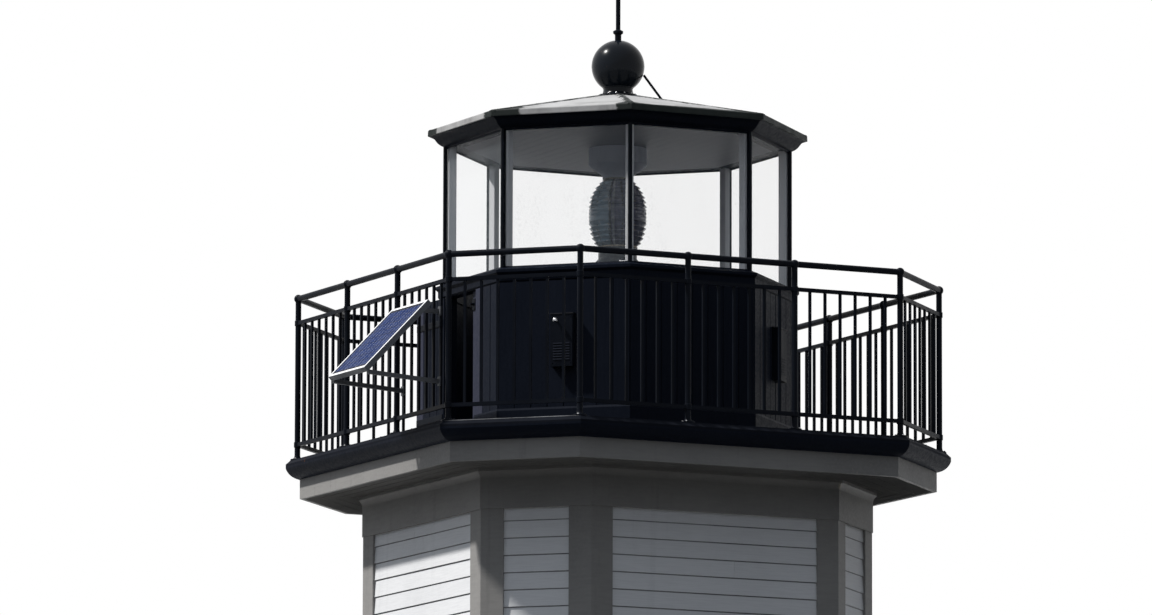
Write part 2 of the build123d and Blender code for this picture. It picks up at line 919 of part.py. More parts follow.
def lens_profile():
    """Stepped prisms below and above the smooth belt, as radius and height from the lens foot."""
    belt_low = 0.47 * lens_height - lens_bull_height / 2
    belt_high = belt_low + lens_bull_height
    points = []
    for k in range(prisms_below):
        z0 = belt_low * k / prisms_below
        z1 = belt_low * (k + 1) / prisms_below
        points.append((lens_radius_at(z0 / lens_height) - prism_depth, z0))
        points.append((lens_radius_at(z1 / lens_height), z0 + 0.35 * (z1 - z0)))
    points.append((lens_radius - prism_depth, belt_low))
    points.append((lens_radius, belt_low + lens_bull_edge))
    points.append((lens_radius, belt_high - lens_bull_edge))
    points.append((lens_radius - prism_depth, belt_high))
    top = lens_height - belt_high
    for k in range(prisms_above):
        z0 = belt_high + top * k / prisms_above
        z1 = belt_high + top * (k + 1) / prisms_above
        points.append((lens_radius_at(z0 / lens_height), z0 + 0.65 * (z1 - z0)))
        points.append((lens_radius_at(z1 / lens_height) - prism_depth, z1))
    return points


def lens():
    """Hollow glass lens with its stepped prisms."""
    outer = lens_profile()
    inner = [(r, z) for r, z in (
        (lens_end_radius - prism_depth - lens_wall / 2, 0.0),
        (lens_radius - lens_wall - prism_depth, 0.3 * lens_height),
        (lens_radius - lens_wall - prism_depth, 0.65 * lens_height),
        (lens_end_radius - prism_depth - lens_wall / 2, lens_height))]
    points = outer + list(reversed(inner))
    return Pos(0, 0, sill_level + lens_bottom_above_sill) * revolved(points)


def lens_rings():
    """Metal rings at the foot and the head of the lens, joined by upright bars inside it."""
    foot = sill_level + lens_bottom_above_sill
    head = foot + lens_height
    bore = lens_end_radius - prism_depth - lens_wall / 2
    hole = bore - 1.5 * lens_bar_size
    r = lens_ring_radius
    h = lens_ring_height
    frame = revolved([(hole, foot - h), (r, foot - h), (r, foot), (hole, foot)])
    frame = frame + revolved([(hole, head), (r, head), (r, head + h / 2), (hole, head + h / 2)])
    b = lens_bar_size
    for k in range(lens_bar_count):
        bar = Box(b, b, lens_height + h / 2, align=(Align.MIN, Align.CENTER, Align.MIN))
        frame = frame + Rot(0, 0, 360.0 * k / lens_bar_count) * Pos(hole + b / 4, 0, foot - h / 4) * bar
    return frame


def lens_pedestal():
    """Iron stand that carries the lens from the lantern floor."""
    foot = sill_level + lens_bottom_above_sill - lens_ring_height
    plate_top = foot - neck_pipe_height
    plate = plate_top - base_plate_thickness
    points = [
        (0, deck_level), (pedestal_foot_radius, deck_level),
        (pedestal_foot_radius, deck_level + pedestal_foot_height),
        (pedestal_radius, deck_level + 2.4 * pedestal_foot_height), (pedestal_radius, plate - pedestal_flare_height),
        (0.8 * base_plate_radius, plate), (base_plate_radius, plate), (base_plate_radius, plate_top),
        (neck_flare_radius, plate_top), (neck_pipe_radius, plate_top + neck_flare_height),
        (neck_pipe_radius, foot), (0, foot)]
    return revolved(points)


def light_sensor():
    """Small domed sensor on the base plate of the lens, fitted to the flare of the neck."""
    a = math.radians(sensor_angle)
    plate_top = sill_level + lens_bottom_above_sill - lens_ring_height - neck_pipe_height
    r = sensor_radius
    w = sensor_wall
    dome = Polyline([(0, r + w), (0, 0), (r, 0), (r, w)]) + RadiusArc((r, w), (0, r + w), -r)
    place = Pos(sensor_radial * math.cos(a), sensor_radial * math.sin(a), plate_top)
    return place * revolve(Plane.XZ * make_face(dome), Axis.Z) - lens_pedestal()


def vent_funnel():
    """Funnel over the lens that leads up to the ball."""
    low = sill_level + lens_bottom_above_sill + lens_height + lens_ring_height / 2 + funnel_mouth_above_lens
    w = funnel_wall
    r = funnel_radius
    lip = r + funnel_lip
    rise = low + funnel_lip_height
    points = [
        (r - w, low), (r, low), (lip, rise), (funnel_wide_radius, low + funnel_flare_height),
        (funnel_wide_radius, head_level), (funnel_wide_radius - w, head_level),
        (funnel_wide_radius - w, low + funnel_flare_height + w), (lip - w, rise + w)]
    return revolved(points)


def solar_along():
    """Middle of the panel along the left side: the middle of the rail's last bay."""
    half = math.dist(corner_point(RAIL, LEFT - 1), corner_point(RAIL, LEFT)) / 2
    return half - half / main_bay_count


def solar_plane():
    """Plane of the panel's back: x along the rail, y up the slope, origin at its middle."""
    tilt = math.radians(solar_tilt)
    face = distance(RAIL, LEFT)
    nx, ny = normal(LEFT)
    tx, ty = tangent(LEFT)
    top_dist = face + solar_top_outset
    top_z = rail_level - solar_top_drop
    mid_dist = top_dist + math.cos(tilt) * solar_length / 2
    mid_z = top_z - math.sin(tilt) * solar_length / 2
    along = solar_along()
    origin = (nx * mid_dist + tx * along, ny * mid_dist + ty * along, mid_z)
    out = (nx * math.sin(tilt), ny * math.sin(tilt), math.cos(tilt))
    surface = Plane(origin=origin, x_dir=(tx, ty, 0), z_dir=out)
    return surface.offset(-solar_thickness)


def solar_frame():
    """Metal frame of the panel with its back sheet."""
    t = solar_thickness
    f = solar_frame_width
    low = (Align.CENTER, Align.CENTER, Align.MIN)
    body = Box(solar_width, solar_length, t, align=low)
    body = body - Pos(0, 0, t - solar_cell_thickness - 1.0) * Box(
        solar_width - 2 * f, solar_length - 2 * f, t, align=low)
    body = body - Pos(0, 0, -t) * Box(solar_width - 2 * f, solar_length - 2 * f, 2 * t - 2 * solar_back_depth, align=low)
    return solar_plane() * body


def solar_cells():
    """Dark glazed face of the panel, seated in the frame."""
    t = solar_thickness
    f = solar_frame_width
    low = (Align.CENTER, Align.CENTER, Align.MIN)
    sheet = Pos(0, 0, t - solar_cell_thickness - 1.0) * Box(
        solar_width - 2 * f, solar_length - 2 * f, solar_cell_thickness, align=low)
    return solar_plane() * sheet


def bracket_pad(along, middle_z):
    """Pad clamped on the outer face of a baluster."""
    face = distance(RAIL, LEFT) + baluster_size / 2
    low_z = middle_z - bracket_pad_height / 2
    return side_block(LEFT, face, along, low_z, bracket_pad_width, bracket_pad_height, bracket_pad_thickness)


def solar_bracket():
    """Two brackets from the end balusters of the rail's last bay to the back of the panel."""
    tilt = math.radians(solar_tilt)
    s = bracket_size
    bay = math.dist(corner_point(RAIL, LEFT - 1), corner_point(RAIL, LEFT)) / main_bay_count
    reach = bay * (main_baluster_count - 1) / (main_baluster_count + 1) / 2
    inner = distance(RAIL, LEFT) + baluster_size / 2 + bracket_pad_thickness / 2
    foot_dist = distance(RAIL, LEFT) + solar_top_outset + math.cos(tilt) * solar_length
    foot_z = rail_level - solar_top_drop - math.sin(tilt) * solar_length
    run = foot_dist - bracket_end_gap - inner
    slope = math.degrees(math.atan2(bracket_arm_rise, run))
    arm_z = foot_z - bracket_arm_drop - bracket_arm_rise
    stub_z = rail_level - solar_top_drop - bracket_stub_drop
    above = Box(2 * BIG, 4 * BIG, 2 * BIG, align=(Align.CENTER, Align.CENTER, Align.MIN))
    brackets = []
    for way in (-1, 1):
        baluster = solar_along() + way * reach
        along = baluster - way * bracket_inset
        bar = Box(s, s, math.hypot(run, bracket_arm_rise), align=(Align.CENTER, Align.MIN, Align.MIN))
        arm = side_plane(LEFT, inner, along, arm_z) * Rot(-slope, 0, 0) * bar
        stub = side_block(LEFT, inner, along, stub_z, s, s, solar_top_outset + 2 * s)
        pads = [bracket_pad(baluster, arm_z + s / 2), bracket_pad(baluster, stub_z + s / 2)]
        brackets.append(arm + pads[0] - solar_plane() * above)
        brackets.append(stub + pads[1] - solar_plane() * above)
    return brackets


def build():
    """Make and write every piece."""
    os.makedirs("parts", exist_ok=True)
    write("foundation", foundation())
    write("floors", floors())
    for side in MAIN_SIDES:
        write("wall_" + SIDES[side], tower_wall(side))
    write("corner_walls", [tower_wall(side) for side in CORNER_SIDES])
    write("corner_boards", corner_boards())
    write("water_table", water_table())
    write("frieze_board", frieze_board())
    write("entrance_frame", entrance_frame())
    write("entrance_door", entrance_door())
    write("door_step", door_step())
    write("window_frames", all_windows(window_frame))
    write("window_glass", all_windows(window_panes))
    write("gallery_soffit", gallery_soffit())
    write("gallery_fascia", gallery_fascia())
    write("gallery_cornice", gallery_cornice())
    write("gallery_deck", gallery_deck())
    write("rail_posts", rail_posts())
    write("top_rail", top_rail())
    for side in MAIN_SIDES:
        write("balustrade_" + SIDES[side], balustrade(side))
    write("balustrade_corners", [bay for side in CORNER_SIDES for bay in balustrade(side)])
    write("parapet_main_walls", [parapet_wall(s) for s in MAIN_SIDES if s != LEFT])
    write("parapet_corner_walls", [parapet_wall(s) for s in CORNER_SIDES])
    write("parapet_left_wall", parapet_left_wall())
    write("gallery_threshold", gallery_threshold())
    write("gallery_door", gallery_door())
    write("gallery_door_stop", gallery_door_stop())
    write("gallery_door_hinges", gallery_door_hinges())
    write("parapet_vents", [parapet_vent(s) for s in CORNER_SIDES])
    write("vent_knob", vent_knob())
    write("lantern_sill", lantern_sill())
    write("glazing_bars", glazing_bars())
    write("glazing_posts", glazing_posts())
    write("lantern_glass", lantern_glass())
    write("lantern_head", lantern_head())
    write("lantern_ceiling", lantern_ceiling())
    write("roof_cornice", roof_cornice())
    write("roof_covering", roof_covering())
    write("ball_ventilator", ball_ventilator())
    write("lightning_rod", lightning_rod())
    write("ball_stay", ball_stay())
    write("lens", lens())
    write("lens_rings", lens_rings())
    write("lens_pedestal", lens_pedestal())
    write("light_sensor", light_sensor())
    write("vent_funnel", vent_funnel())
    write("solar_frame", solar_frame())
    write("solar_cells", solar_cells())
    write("solar_bracket", solar_bracket())


build()
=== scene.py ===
import json
import logging
import math
from dataclasses import dataclass
from enum import Enum
from itertools import groupby
from typing import Sequence

import bmesh
import bpy
from mathutils import Matrix, Vector


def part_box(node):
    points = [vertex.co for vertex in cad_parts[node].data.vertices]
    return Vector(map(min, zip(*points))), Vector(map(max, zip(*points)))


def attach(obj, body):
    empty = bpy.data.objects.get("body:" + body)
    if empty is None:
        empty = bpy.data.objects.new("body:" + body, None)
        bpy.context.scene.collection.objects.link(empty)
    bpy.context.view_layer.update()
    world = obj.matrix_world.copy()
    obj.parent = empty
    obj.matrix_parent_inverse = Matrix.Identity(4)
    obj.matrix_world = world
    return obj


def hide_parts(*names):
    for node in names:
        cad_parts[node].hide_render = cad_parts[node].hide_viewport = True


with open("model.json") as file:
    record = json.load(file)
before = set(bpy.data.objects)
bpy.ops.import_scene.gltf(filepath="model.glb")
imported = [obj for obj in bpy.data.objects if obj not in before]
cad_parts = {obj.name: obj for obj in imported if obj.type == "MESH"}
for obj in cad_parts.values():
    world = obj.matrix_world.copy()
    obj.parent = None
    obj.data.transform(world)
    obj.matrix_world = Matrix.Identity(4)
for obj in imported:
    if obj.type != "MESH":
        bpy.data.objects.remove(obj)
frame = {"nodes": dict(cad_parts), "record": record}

LOG = logging.getLogger("lighthouse")
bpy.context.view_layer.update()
Triple = tuple[float, float, float]
Point = tuple[float, float]
Mesh = bpy.types.Mesh
STILL = (0.0, 0.0, 0.0)
WHOLE = (1.0, 1.0, 1.0)


class Slot(Enum):
    """Material slots of the record."""

    GRANITE = "granite"
    WHITE_PAINT = "white_paint"
    GREY_TRIM = "grey_trim"
    DARK_DOOR = "dark_door"
    BLACK_PAINT = "black_paint"
    DECK_BLACK = "deck_black"
    BLACK_IRON = "black_iron"
    WORN_PAINT = "worn_paint"
    WHITE_WOOD = "white_wood"
    ROOF_METAL = "roof_metal"
    LENS_GLASS = "lens_glass"
    BRASS = "brass"
    GREY_METAL = "grey_metal"
    SOLAR_CELLS = "solar_cells"
    ALUMINIUM_FRAME = "aluminium_frame"


class Side(Enum):
    """Sides of the eight-sided plan, counted to the right from the front."""

    FRONT = 0
    FRONT_RIGHT = 1
    RIGHT = 2
    BACK_RIGHT = 3
    BACK = 4
    BACK_LEFT = 5
    LEFT = 6
    FRONT_LEFT = 7

    @property
    def is_main(self) -> bool:
        """True for the four main sides."""
        return self.value % 2 == 0

    @property
    def normal(self) -> Vector:
        """Outward direction of the side."""
        angle = math.radians(-90.0 + 45.0 * self.value)
        return Vector((math.cos(angle), math.sin(angle), 0.0))

    @property
    def along(self) -> Vector:
        """Direction along the side, to the right as seen from outside."""
        return Vector((-self.normal.y, self.normal.x, 0.0))

    @property
    def turn(self) -> float:
        """Turn about Z that brings a piece made for the front to this side."""
        return math.radians(45.0 * self.value)


@dataclass(frozen=True)
class Spot:
    """Place of one set-out piece: point, turns about the axes and size."""

    place: Vector
    spin: Triple = STILL
    size: Triple = WHOLE


@dataclass(frozen=True)
class Plan:
    """Eight-sided plan: distances of the main sides and of the corner sides from the axis."""

    main: float
    corner: float

    @classmethod
    def from_cut(cls, main: float, cut: float) -> "Plan":
        """Plan of a square of half-width main whose corners are cut by sides of length cut."""
        return cls(main, math.sqrt(2.0) * main - cut / 2.0)

    def grown(self, main: float, corner: float | None = None) -> "Plan":
        """Plan with its sides moved out."""
        return Plan(self.main + main, self.corner + (main if corner is None else corner))

    def distance(self, side: Side) -> float:
        """Distance of a side from the axis."""
        return self.main if side.is_main else self.corner

    def spot(self, side: Side, along: float, out: float, level: float, size: Triple = WHOLE, tip: float = 0.0) -> Spot:
        """Spot on a side for a piece made for the front.

        Args:
            side: side of the plan.
            along: distance from the middle of the side.
            out: distance out from its face.
            level: height above the ground.
            size: size of the piece.
            tip: turn about the line of the side.

        Returns:
            The spot.
        """
        place = side.normal * (self.distance(side) + out) + side.along * along
        return Spot(Vector((place.x, place.y, level)), (tip, 0.0, side.turn), size)

    def corner_at(self, index: int, offset: float = 0.0) -> Vector:
        """Corner after a side, with every side moved out by the offset.

        Args:
            index: number of the side before the corner.
            offset: distance by which the sides are moved out.

        Returns:
            The corner.
        """
        first, second = Side(index % 8), Side((index + 1) % 8)
        a, b = first.normal, second.normal
        da, db = self.distance(first) + offset, self.distance(second) + offset
        det = a.x * b.y - a.y * b.x
        return Vector(((da * b.y - db * a.y) / det, (a.x * db - b.x * da) / det, 0.0))

    def length(self, side: Side, offset: float = 0.0) -> float:
        """Length of a side."""
        return (self.corner_at(side.value, offset) - self.corner_at(side.value - 1, offset)).length


TOWER = Plan.from_cut(1.380, 0.719)
GALLERY = Plan.from_cut(1.746, 0.864)
RAIL = GALLERY.grown(0.016)
LANTERN = Plan(1.034, 1.034)
EAVE = 1.145
DECK_LEVEL = 7.920
SOFFIT_LEVEL = 7.669
FRIEZE_LEVEL = 7.411
SILL_LEVEL = 9.038
HEAD_LEVEL = 9.946
RAIL_LEVEL = 8.987
PARAPET_TOP = 8.938
WALL_FACE = 0.036
COURSE = 0.11025
COURSE_START = 3.255
QUARTER_TURN = math.radians(90.0)
HALF_SIDE = math.radians(22.5)


class Value:
    """Output of a node; arithmetic on it adds the nodes that do it."""

    def __init__(self, graph: "Graph", socket: bpy.types.NodeSocket) -> None:
        """Hold one output of a graph."""
        self.graph, self.socket = graph, socket

    def __add__(self, other: "Value | float") -> "Value":
        """Sum."""
        return self.graph.maths("ADD", self, other)

    def __sub__(self, other: "Value | float") -> "Value":
        """Difference."""
        return self.graph.maths("SUBTRACT", self, other)

    def __rsub__(self, other: float) -> "Value":
        """Difference from a number."""
        return self.graph.maths("SUBTRACT", other, self)

    def __mul__(self, other: "Value | float") -> "Value":
        """Product."""
        return self.graph.maths("MULTIPLY", self, other)

    def __truediv__(self, other: "Value | float") -> "Value":
        """Quotient."""
        return self.graph.maths("DIVIDE", self, other)

    def __abs__(self) -> "Value":
        """Value without its sign."""
        return self.graph.maths("ABSOLUTE", self)

    def span(self, low: float, high: float, start: float = 0.0, end: float = 1.0, curve: str = "SMOOTHSTEP") -> "Value":
        """Map low..high to start..end, clamped."""
        feeds = {"Value": self, "From Min": low, "From Max": high, "To Min": start, "To Max": end}
        return self.graph.add("ShaderNodeMapRange", feeds, interpolation_type=curve)


class Graph:
    """Node tree that is laid out by script."""

    def __init__(self, tree: bpy.types.NodeTree) -> None:
        """Take up a node tree."""
        self.tree = tree

    def node(self, kind: str, feeds: dict[object, object] | None = None, **settings: object) -> bpy.types.Node:
        """Add a node.

        Args:
            kind: type of the node.
            feeds: values or outputs for its inputs, by name or index.
            settings: properties of the node.

        Returns:
            The node.
        """
        node = self.tree.nodes.new(kind)
        for key, value in settings.items():
            setattr(node, key, value)
        for key, value in (feeds or {}).items():
            socket = node.inputs[key]
            if isinstance(value, Value):
                self.tree.links.new(value.socket, socket)
            else:
                socket.default_value = (*value, 1.0) if socket.type == "RGBA" else value
        return node

    def add(self, kind: str, feeds: dict[object, object] | None = None, out: int | str = 0, **settings: object
            ) -> Value:
        """Add a node and take one of its outputs."""
        return Value(self, self.node(kind, feeds, **settings).outputs[out])

    def maths(self, operation: str, first: Value | float, second: Value | float = 0.0) -> Value:
        """One step of arithmetic."""
        return self.add("ShaderNodeMath", {0: first, 1: second}, operation=operation)


class Recipe(Graph):
    """Nodes of one finish, with patterns on object coordinates."""

    def __init__(self, name: str) -> None:
        """Start an empty material.

        Args:
            name: name of the material.
        """
        self.material = bpy.data.materials.new(name)
        self.material.use_nodes = True
        super().__init__(self.material.node_tree)
        self.tree.nodes.clear()
        self.place = self.add("ShaderNodeTexCoord", out="Object")

    def texture(self, kind: str, stretch: Triple | float, out: str, **feeds: float) -> Value:
        """Texture with its own scale along each axis, in features per metre.

        Args:
            kind: texture's kind.
            stretch: scale, or scales along the axes.
            out: name of the output.
            feeds: values of the texture's own inputs.

        Returns:
            The output.
        """
        scale = (stretch,) * 3 if isinstance(stretch, float) else stretch
        place = self.add("ShaderNodeMapping", {"Vector": self.place, "Scale": scale})
        return self.add("ShaderNodeTex" + kind, {"Vector": place, "Scale": 1.0, **feeds}, out)

    def noise(self, stretch: Triple | float, detail: float = 3.0, roughness: float = 0.5) -> Value:
        """Noise with values from about 0.2 to 0.8."""
        return self.texture("Noise", stretch, "Fac", Detail=detail, Roughness=roughness)

    def cells(self, stretch: Triple | float) -> Value:
        """Cells that each have a brightness of their own."""
        return self.add("ShaderNodeRGBToBW", {"Color": self.texture("Voronoi", stretch, "Color")})

    def axis(self, name: str) -> Value:
        """One axis of the object coordinates."""
        return self.add("ShaderNodeSeparateXYZ", {"Vector": self.place}, name)

    def blend(self, factor: Value | float, first: Value | Triple, second: Value | Triple) -> Value:
        """Colour between two colours."""
        return self.add("ShaderNodeMix", {0: factor, 6: first, 7: second}, 2, data_type="RGBA")

    def tone(self) -> Value:
        """Value from 0 to 1 that the set-out pieces carry, one for each."""
        return self.add("ShaderNodeAttribute", out="Fac", attribute_name="tone")

    def relief(self, height: Value, depth: float) -> Value:
        """Normal bumped by a height pattern, whose depth is in metres."""
        return self.add("ShaderNodeBump", {"Strength": 1.0, "Distance": depth, "Height": height})

    def finish(self, **sockets: object) -> bpy.types.Material:
        """Close the material with one Principled shader.

        Args:
            sockets: values or outputs by socket name, with underscores for spaces.

        Returns:
            The material.
        """
        feeds = {key.replace("_", " "): value for key, value in sockets.items()}
        self.node("ShaderNodeOutputMaterial", {"Surface": self.add("ShaderNodeBsdfPrincipled", feeds, "BSDF")})
        return self.material


@dataclass(frozen=True)
class PaintedWood:
    """Brushed paint on boards, with grime in patches, grain and small bare places, and on lapped boards a painted shade
    line under each butt.
    """

    name: str
    colour: Triple
    grime: Triple
    bare: Triple = (0.30, 0.26, 0.22)
    grain: Triple = (7.0, 7.0, 150.0)
    roughness: float = 0.5
    grime_amount: float = 0.5
    wear: float = 0.0
    tone_spread: float = 0.12
    relief: float = 0.0006
    board_pitch: float = 0.0
    streaks: float = 0.25
    gloss: float = 0.4
    course: float = 0.0
    shadow_line: Triple = (0.10, 0.10, 0.11)

    def build(self) -> bpy.types.Material:
        """Make the material.

        Returns:
            The material.
        """
        r = Recipe(self.name)
        grain = r.noise(self.grain, 5.0, 0.6)
        clouds = r.noise((0.9, 0.9, 0.7), 5.0, 0.6)
        drips = r.noise((16.0, 16.0, 0.9), 4.0, 0.55)
        mottle = r.noise(55.0)
        dirt = r.maths("MAXIMUM", clouds.span(0.38, 0.72) * self.grime_amount, drips.span(0.52, 0.74) * self.streaks)
        colour = r.blend(dirt * mottle.span(0.25, 0.6, 0.55, 1.0), self.colour, self.grime)
        colour = r.blend(r.tone() * self.tone_spread + grain.span(0.35, 0.7) * 0.14, colour, self.grime)
        height = grain + mottle * 0.35
        if self.wear > 0.0:
            chips = r.noise((24.0, 24.0, 14.0), 5.0, 0.7)
            chipped = (chips * clouds).span(0.40 - self.wear, 0.43 - self.wear)
            colour = r.blend(chipped, colour, self.bare)
            height = height - chipped * 0.7
        if self.board_pitch > 0.0:
            share = r.maths("FRACT", r.axis("X") / self.board_pitch)
            groove = abs(share - 0.5).span(0.47, 0.495)
            colour = r.blend(groove * 0.75, colour, self.grime)
            height = height - groove * 4.0
        # painted shade with a little dirt: a dark line on each board just under the butt of the board above, where its
        # shadow falls
        if self.course > 0.0:
            share = r.maths("FRACT", (r.axis("Z") - COURSE_START) / self.course)
            line = share.span(0.925, 0.965) * clouds.span(0.2, 0.6, 0.6, 0.95)
            colour = r.blend(line, colour, self.shadow_line)
        shine = mottle.span(0.3, 0.7, self.roughness - 0.06, self.roughness + 0.12)
        return r.finish(Base_Color=colour, Roughness=shine, Specular_IOR_Level=self.gloss,
                        Normal=r.relief(height, self.relief))


@dataclass(frozen=True)
class PaintedIron:
    """Thick paint on iron, with a soft orange-peel surface, dull patches and a little rust."""

    name: str
    colour: Triple
    dust: Triple
    rust: Triple = (0.10, 0.045, 0.022)
    roughness: float = 0.24
    rust_amount: float = 0.05
    relief: float = 0.0004
    gloss: float = 0.22
    dulling: float = 0.13

    def build(self) -> bpy.types.Material:
        """Make the material.

        Returns:
            The material.
        """
        r = Recipe(self.name)
        clouds = r.noise((3.0, 3.0, 2.2), 5.0, 0.6)
        peel = r.noise(85.0, 2.0)
        specks = r.noise((30.0, 30.0, 22.0), 5.0, 0.7)
        rusty = (specks * clouds).span(0.42 - self.rust_amount, 0.47 - self.rust_amount)
        colour = r.blend(rusty, r.blend(clouds.span(0.4, 0.75, 0.0, 0.6), self.colour, self.dust), self.rust)
        shine = clouds.span(0.3, 0.7, self.roughness - 0.05, self.roughness + self.dulling) + rusty * 0.4
        return r.finish(Base_Color=colour, Roughness=shine, Specular_IOR_Level=self.gloss,
                        Normal=r.relief(peel + rusty * 0.8, self.relief))


@dataclass(frozen=True)
class BareMetal:
    """Bare or galvanised metal with spangle, scratches and dull patches."""

    name: str
    colour: Triple
    dull: Triple
    roughness: float = 0.35
    grain: float = 30.0
    metallic: float = 1.0
    gloss: float = 0.5
    painted: float = 0.0
    paint: Triple = (0.012, 0.014, 0.018)

    def build(self) -> bpy.types.Material:
        """Make the material.

        Returns:
            The material.
        """
        r = Recipe(self.name)
        clouds = r.noise((5.0, 5.0, 4.0), 4.0, 0.6)
        scratch = r.noise((160.0, 160.0, 9.0))
        mix = r.cells(self.grain) * 0.35 + clouds.span(0.35, 0.7, 0.0, 0.55)
        colour = r.blend(mix, self.colour, self.dull)
        if self.painted > 0.0:
            under = r.tone().span(self.painted - 0.02, self.painted + 0.02, 1.0, 0.0)
            colour = r.blend(under, colour, self.paint)
        shine = clouds.span(0.3, 0.7, self.roughness - 0.08, self.roughness + 0.16)
        return r.finish(Base_Color=colour, Roughness=shine, Metallic=self.metallic,
                        Specular_IOR_Level=self.gloss, Normal=r.relief(scratch, 0.0002))


@dataclass(frozen=True)
class SplitGranite:
    """Speckled stone with split faces and lichen patches."""

    name: str
    colour: Triple
    dark: Triple
    light: Triple
    moss: Triple = (0.16, 0.17, 0.09)

    def build(self) -> bpy.types.Material:
        """Make the material.

        Returns:
            The material.
        """
        r = Recipe(self.name)
        split = r.noise(9.0, 7.0, 0.65)
        clouds = r.noise((1.6, 1.6, 2.4), 5.0, 0.6)
        colour = r.blend(r.cells(210.0).span(0.25, 0.75), self.dark, self.light)
        colour = r.blend(0.62, colour, self.colour)
        colour = r.blend(r.tone() * 0.35, colour, self.dark)
        colour = r.blend(clouds.span(0.52, 0.72, 0.0, 0.45), colour, self.moss)
        return r.finish(Base_Color=colour, Roughness=split.span(0.3, 0.7, 0.7, 0.92), Normal=r.relief(split, 0.012))


@dataclass(frozen=True)
class RoofPaint:
    """Pale paint on the eight roof sheets, dark at the corners and worn along the eaves."""

    name: str
    pale: Triple
    worn: Triple
    stain: Triple
    sheltered_band: float = -0.060
    weather_band: float = 0.150
    weather_side: Point = (0.6, -0.8)
    corner_run: float = 0.30
    corner_width: float = 0.12
    fray: float = 0.032
    hip_line: float = 0.006

    def build(self) -> bpy.types.Material:
        """Make the material.

        Returns:
            The material.
        """
        r = Recipe(self.name)
        sheet = 2.0 * HALF_SIDE
        x, y = r.axis("X"), r.axis("Y")
        fold = abs(r.maths("FRACT", (r.maths("ARCTAN2", y, x) + 4.0 * math.pi) / sheet) - 0.5)
        reach = r.maths("SQRT", x * x + y * y)
        run = reach * r.maths("COSINE", (0.5 - fold) * sheet)
        hip = reach * r.maths("SINE", fold * sheet)
        rag = r.noise(11.0, 6.0, 0.68)
        wander = (rag - 0.5) * 0.16
        width = run.span(EAVE - self.corner_run, EAVE) * self.corner_width + self.hip_line
        width = width * r.noise(1.7, 4.0, 0.6).span(0.35, 0.65, 0.45, 1.3)
        at_hip = (hip + wander - width).span(0.0, self.fray, 1.0, 0.0)
        east, north = self.weather_side
        facing = (x * east + y * north) / reach
        band = facing.span(0.25, 0.9, self.sheltered_band, self.weather_band)
        at_eave = ((EAVE - run) + wander * 0.6 - band).span(0.0, self.fray * 0.6, 1.0, 0.0)
        worn = r.maths("MAXIMUM", at_eave, at_hip)
        wash = run.span(0.55, 1.1, 0.25, 1.0) * r.noise(3.5, 5.0, 0.65).span(0.38, 0.7)
        colour = r.blend(worn, r.blend(wash, self.pale, self.stain), self.worn)
        return r.finish(Base_Color=colour, Roughness=rag.span(0.3, 0.7, 0.5, 0.72), Specular_IOR_Level=0.12,
                        Normal=r.relief(rag + worn, 0.0012))


@dataclass(frozen=True)
class ClearGlass:
    """Pane of glass with faint streaks of salt."""

    name: str
    colour: Triple
    opacity: float
    salt: float = 0.03
    film: float = 1.0
    gloss: float = 0.5
    crust: Triple = (0.85, 0.87, 0.88)

    def build(self) -> bpy.types.Material:
        """Make the material.

        Returns:
            The material.
        """
        r = Recipe(self.name)
        streaks = r.noise((6.0, 6.0, 1.6), 5.0, 0.6)
        spots = (streaks * r.noise((70.0, 70.0, 50.0), 2.0)).span(0.30, 0.42)
        return r.finish(Base_Color=r.blend(spots * self.film, self.colour, self.crust), IOR=1.5,
                        Roughness=streaks.span(0.3, 0.7, 0.03, 0.08), Alpha=spots * self.salt + self.opacity,
                        Specular_IOR_Level=self.gloss)


@dataclass(frozen=True)
class PressedGlass:
    """Thick glass of the lens with light and shade painted in: greenish and lighter on the lit left, painted shade
    beyond an upright joint of its panels and darker still on the far side, a painted highlight streak and painted
    glints.
    """

    name: str
    colour: Triple
    deep: Triple
    bright: Triple
    painted_shade_middle: Triple
    painted_shade_far: Triple
    opacity: float = 0.88
    # across: way across the lens from its lit side to its shaded side
    across: Point = (0.895, -0.446)
    joint: float = -0.27
    highlight_line: float = -0.165
    seam: Triple = (0.012, 0.012, 0.016)

    def build(self) -> bpy.types.Material:
        """Make the material.

        Returns:
            The material.
        """
        r = Recipe(self.name)
        x, y = r.axis("X"), r.axis("Y")
        right, back = self.across
        side = (x * right + y * back) / r.maths("SQRT", x * x + y * y)
        swirl = r.noise((9.0, 9.0, 14.0), 3.0, 0.55)
        upright = r.noise((26.0, 26.0, 1.6), 2.0)
        dust = r.noise((40.0, 40.0, 30.0), 2.0)
        beyond = side.span(self.joint - 0.08, self.joint)
        # painted light and shade: lit greenish glass before the joint, painted shade beyond it
        colour = r.blend(beyond, r.blend(swirl.span(0.35, 0.68), self.deep, self.colour),
                         r.blend(upright.span(0.38, 0.62), self.painted_shade_far, self.painted_shade_middle))
        # painted shade: darker still towards the shaded side
        colour = r.blend(side.span(0.30, 0.60, 0.0, 0.6), colour, self.painted_shade_far)
        colour = r.blend(abs(side - self.joint).span(0.015, 0.050, 0.85, 0.0), colour, self.seam)
        # painted highlight: a bright upright streak, and painted glints in small spots on the lit side
        streak = abs(side - self.highlight_line).span(0.012, 0.070, 1.0, 0.0) * swirl.span(0.40, 0.60, 0.30, 0.90)
        for light in (streak, dust.span(0.64, 0.70) * (1.0 - beyond)):
            colour = r.blend(light, colour, self.bright)
        return r.finish(Base_Color=colour, Roughness=dust.span(0.3, 0.7, 0.10, 0.20), Alpha=self.opacity, IOR=1.52,
                        Specular_IOR_Level=0.25, Normal=r.relief(swirl, 0.0006))


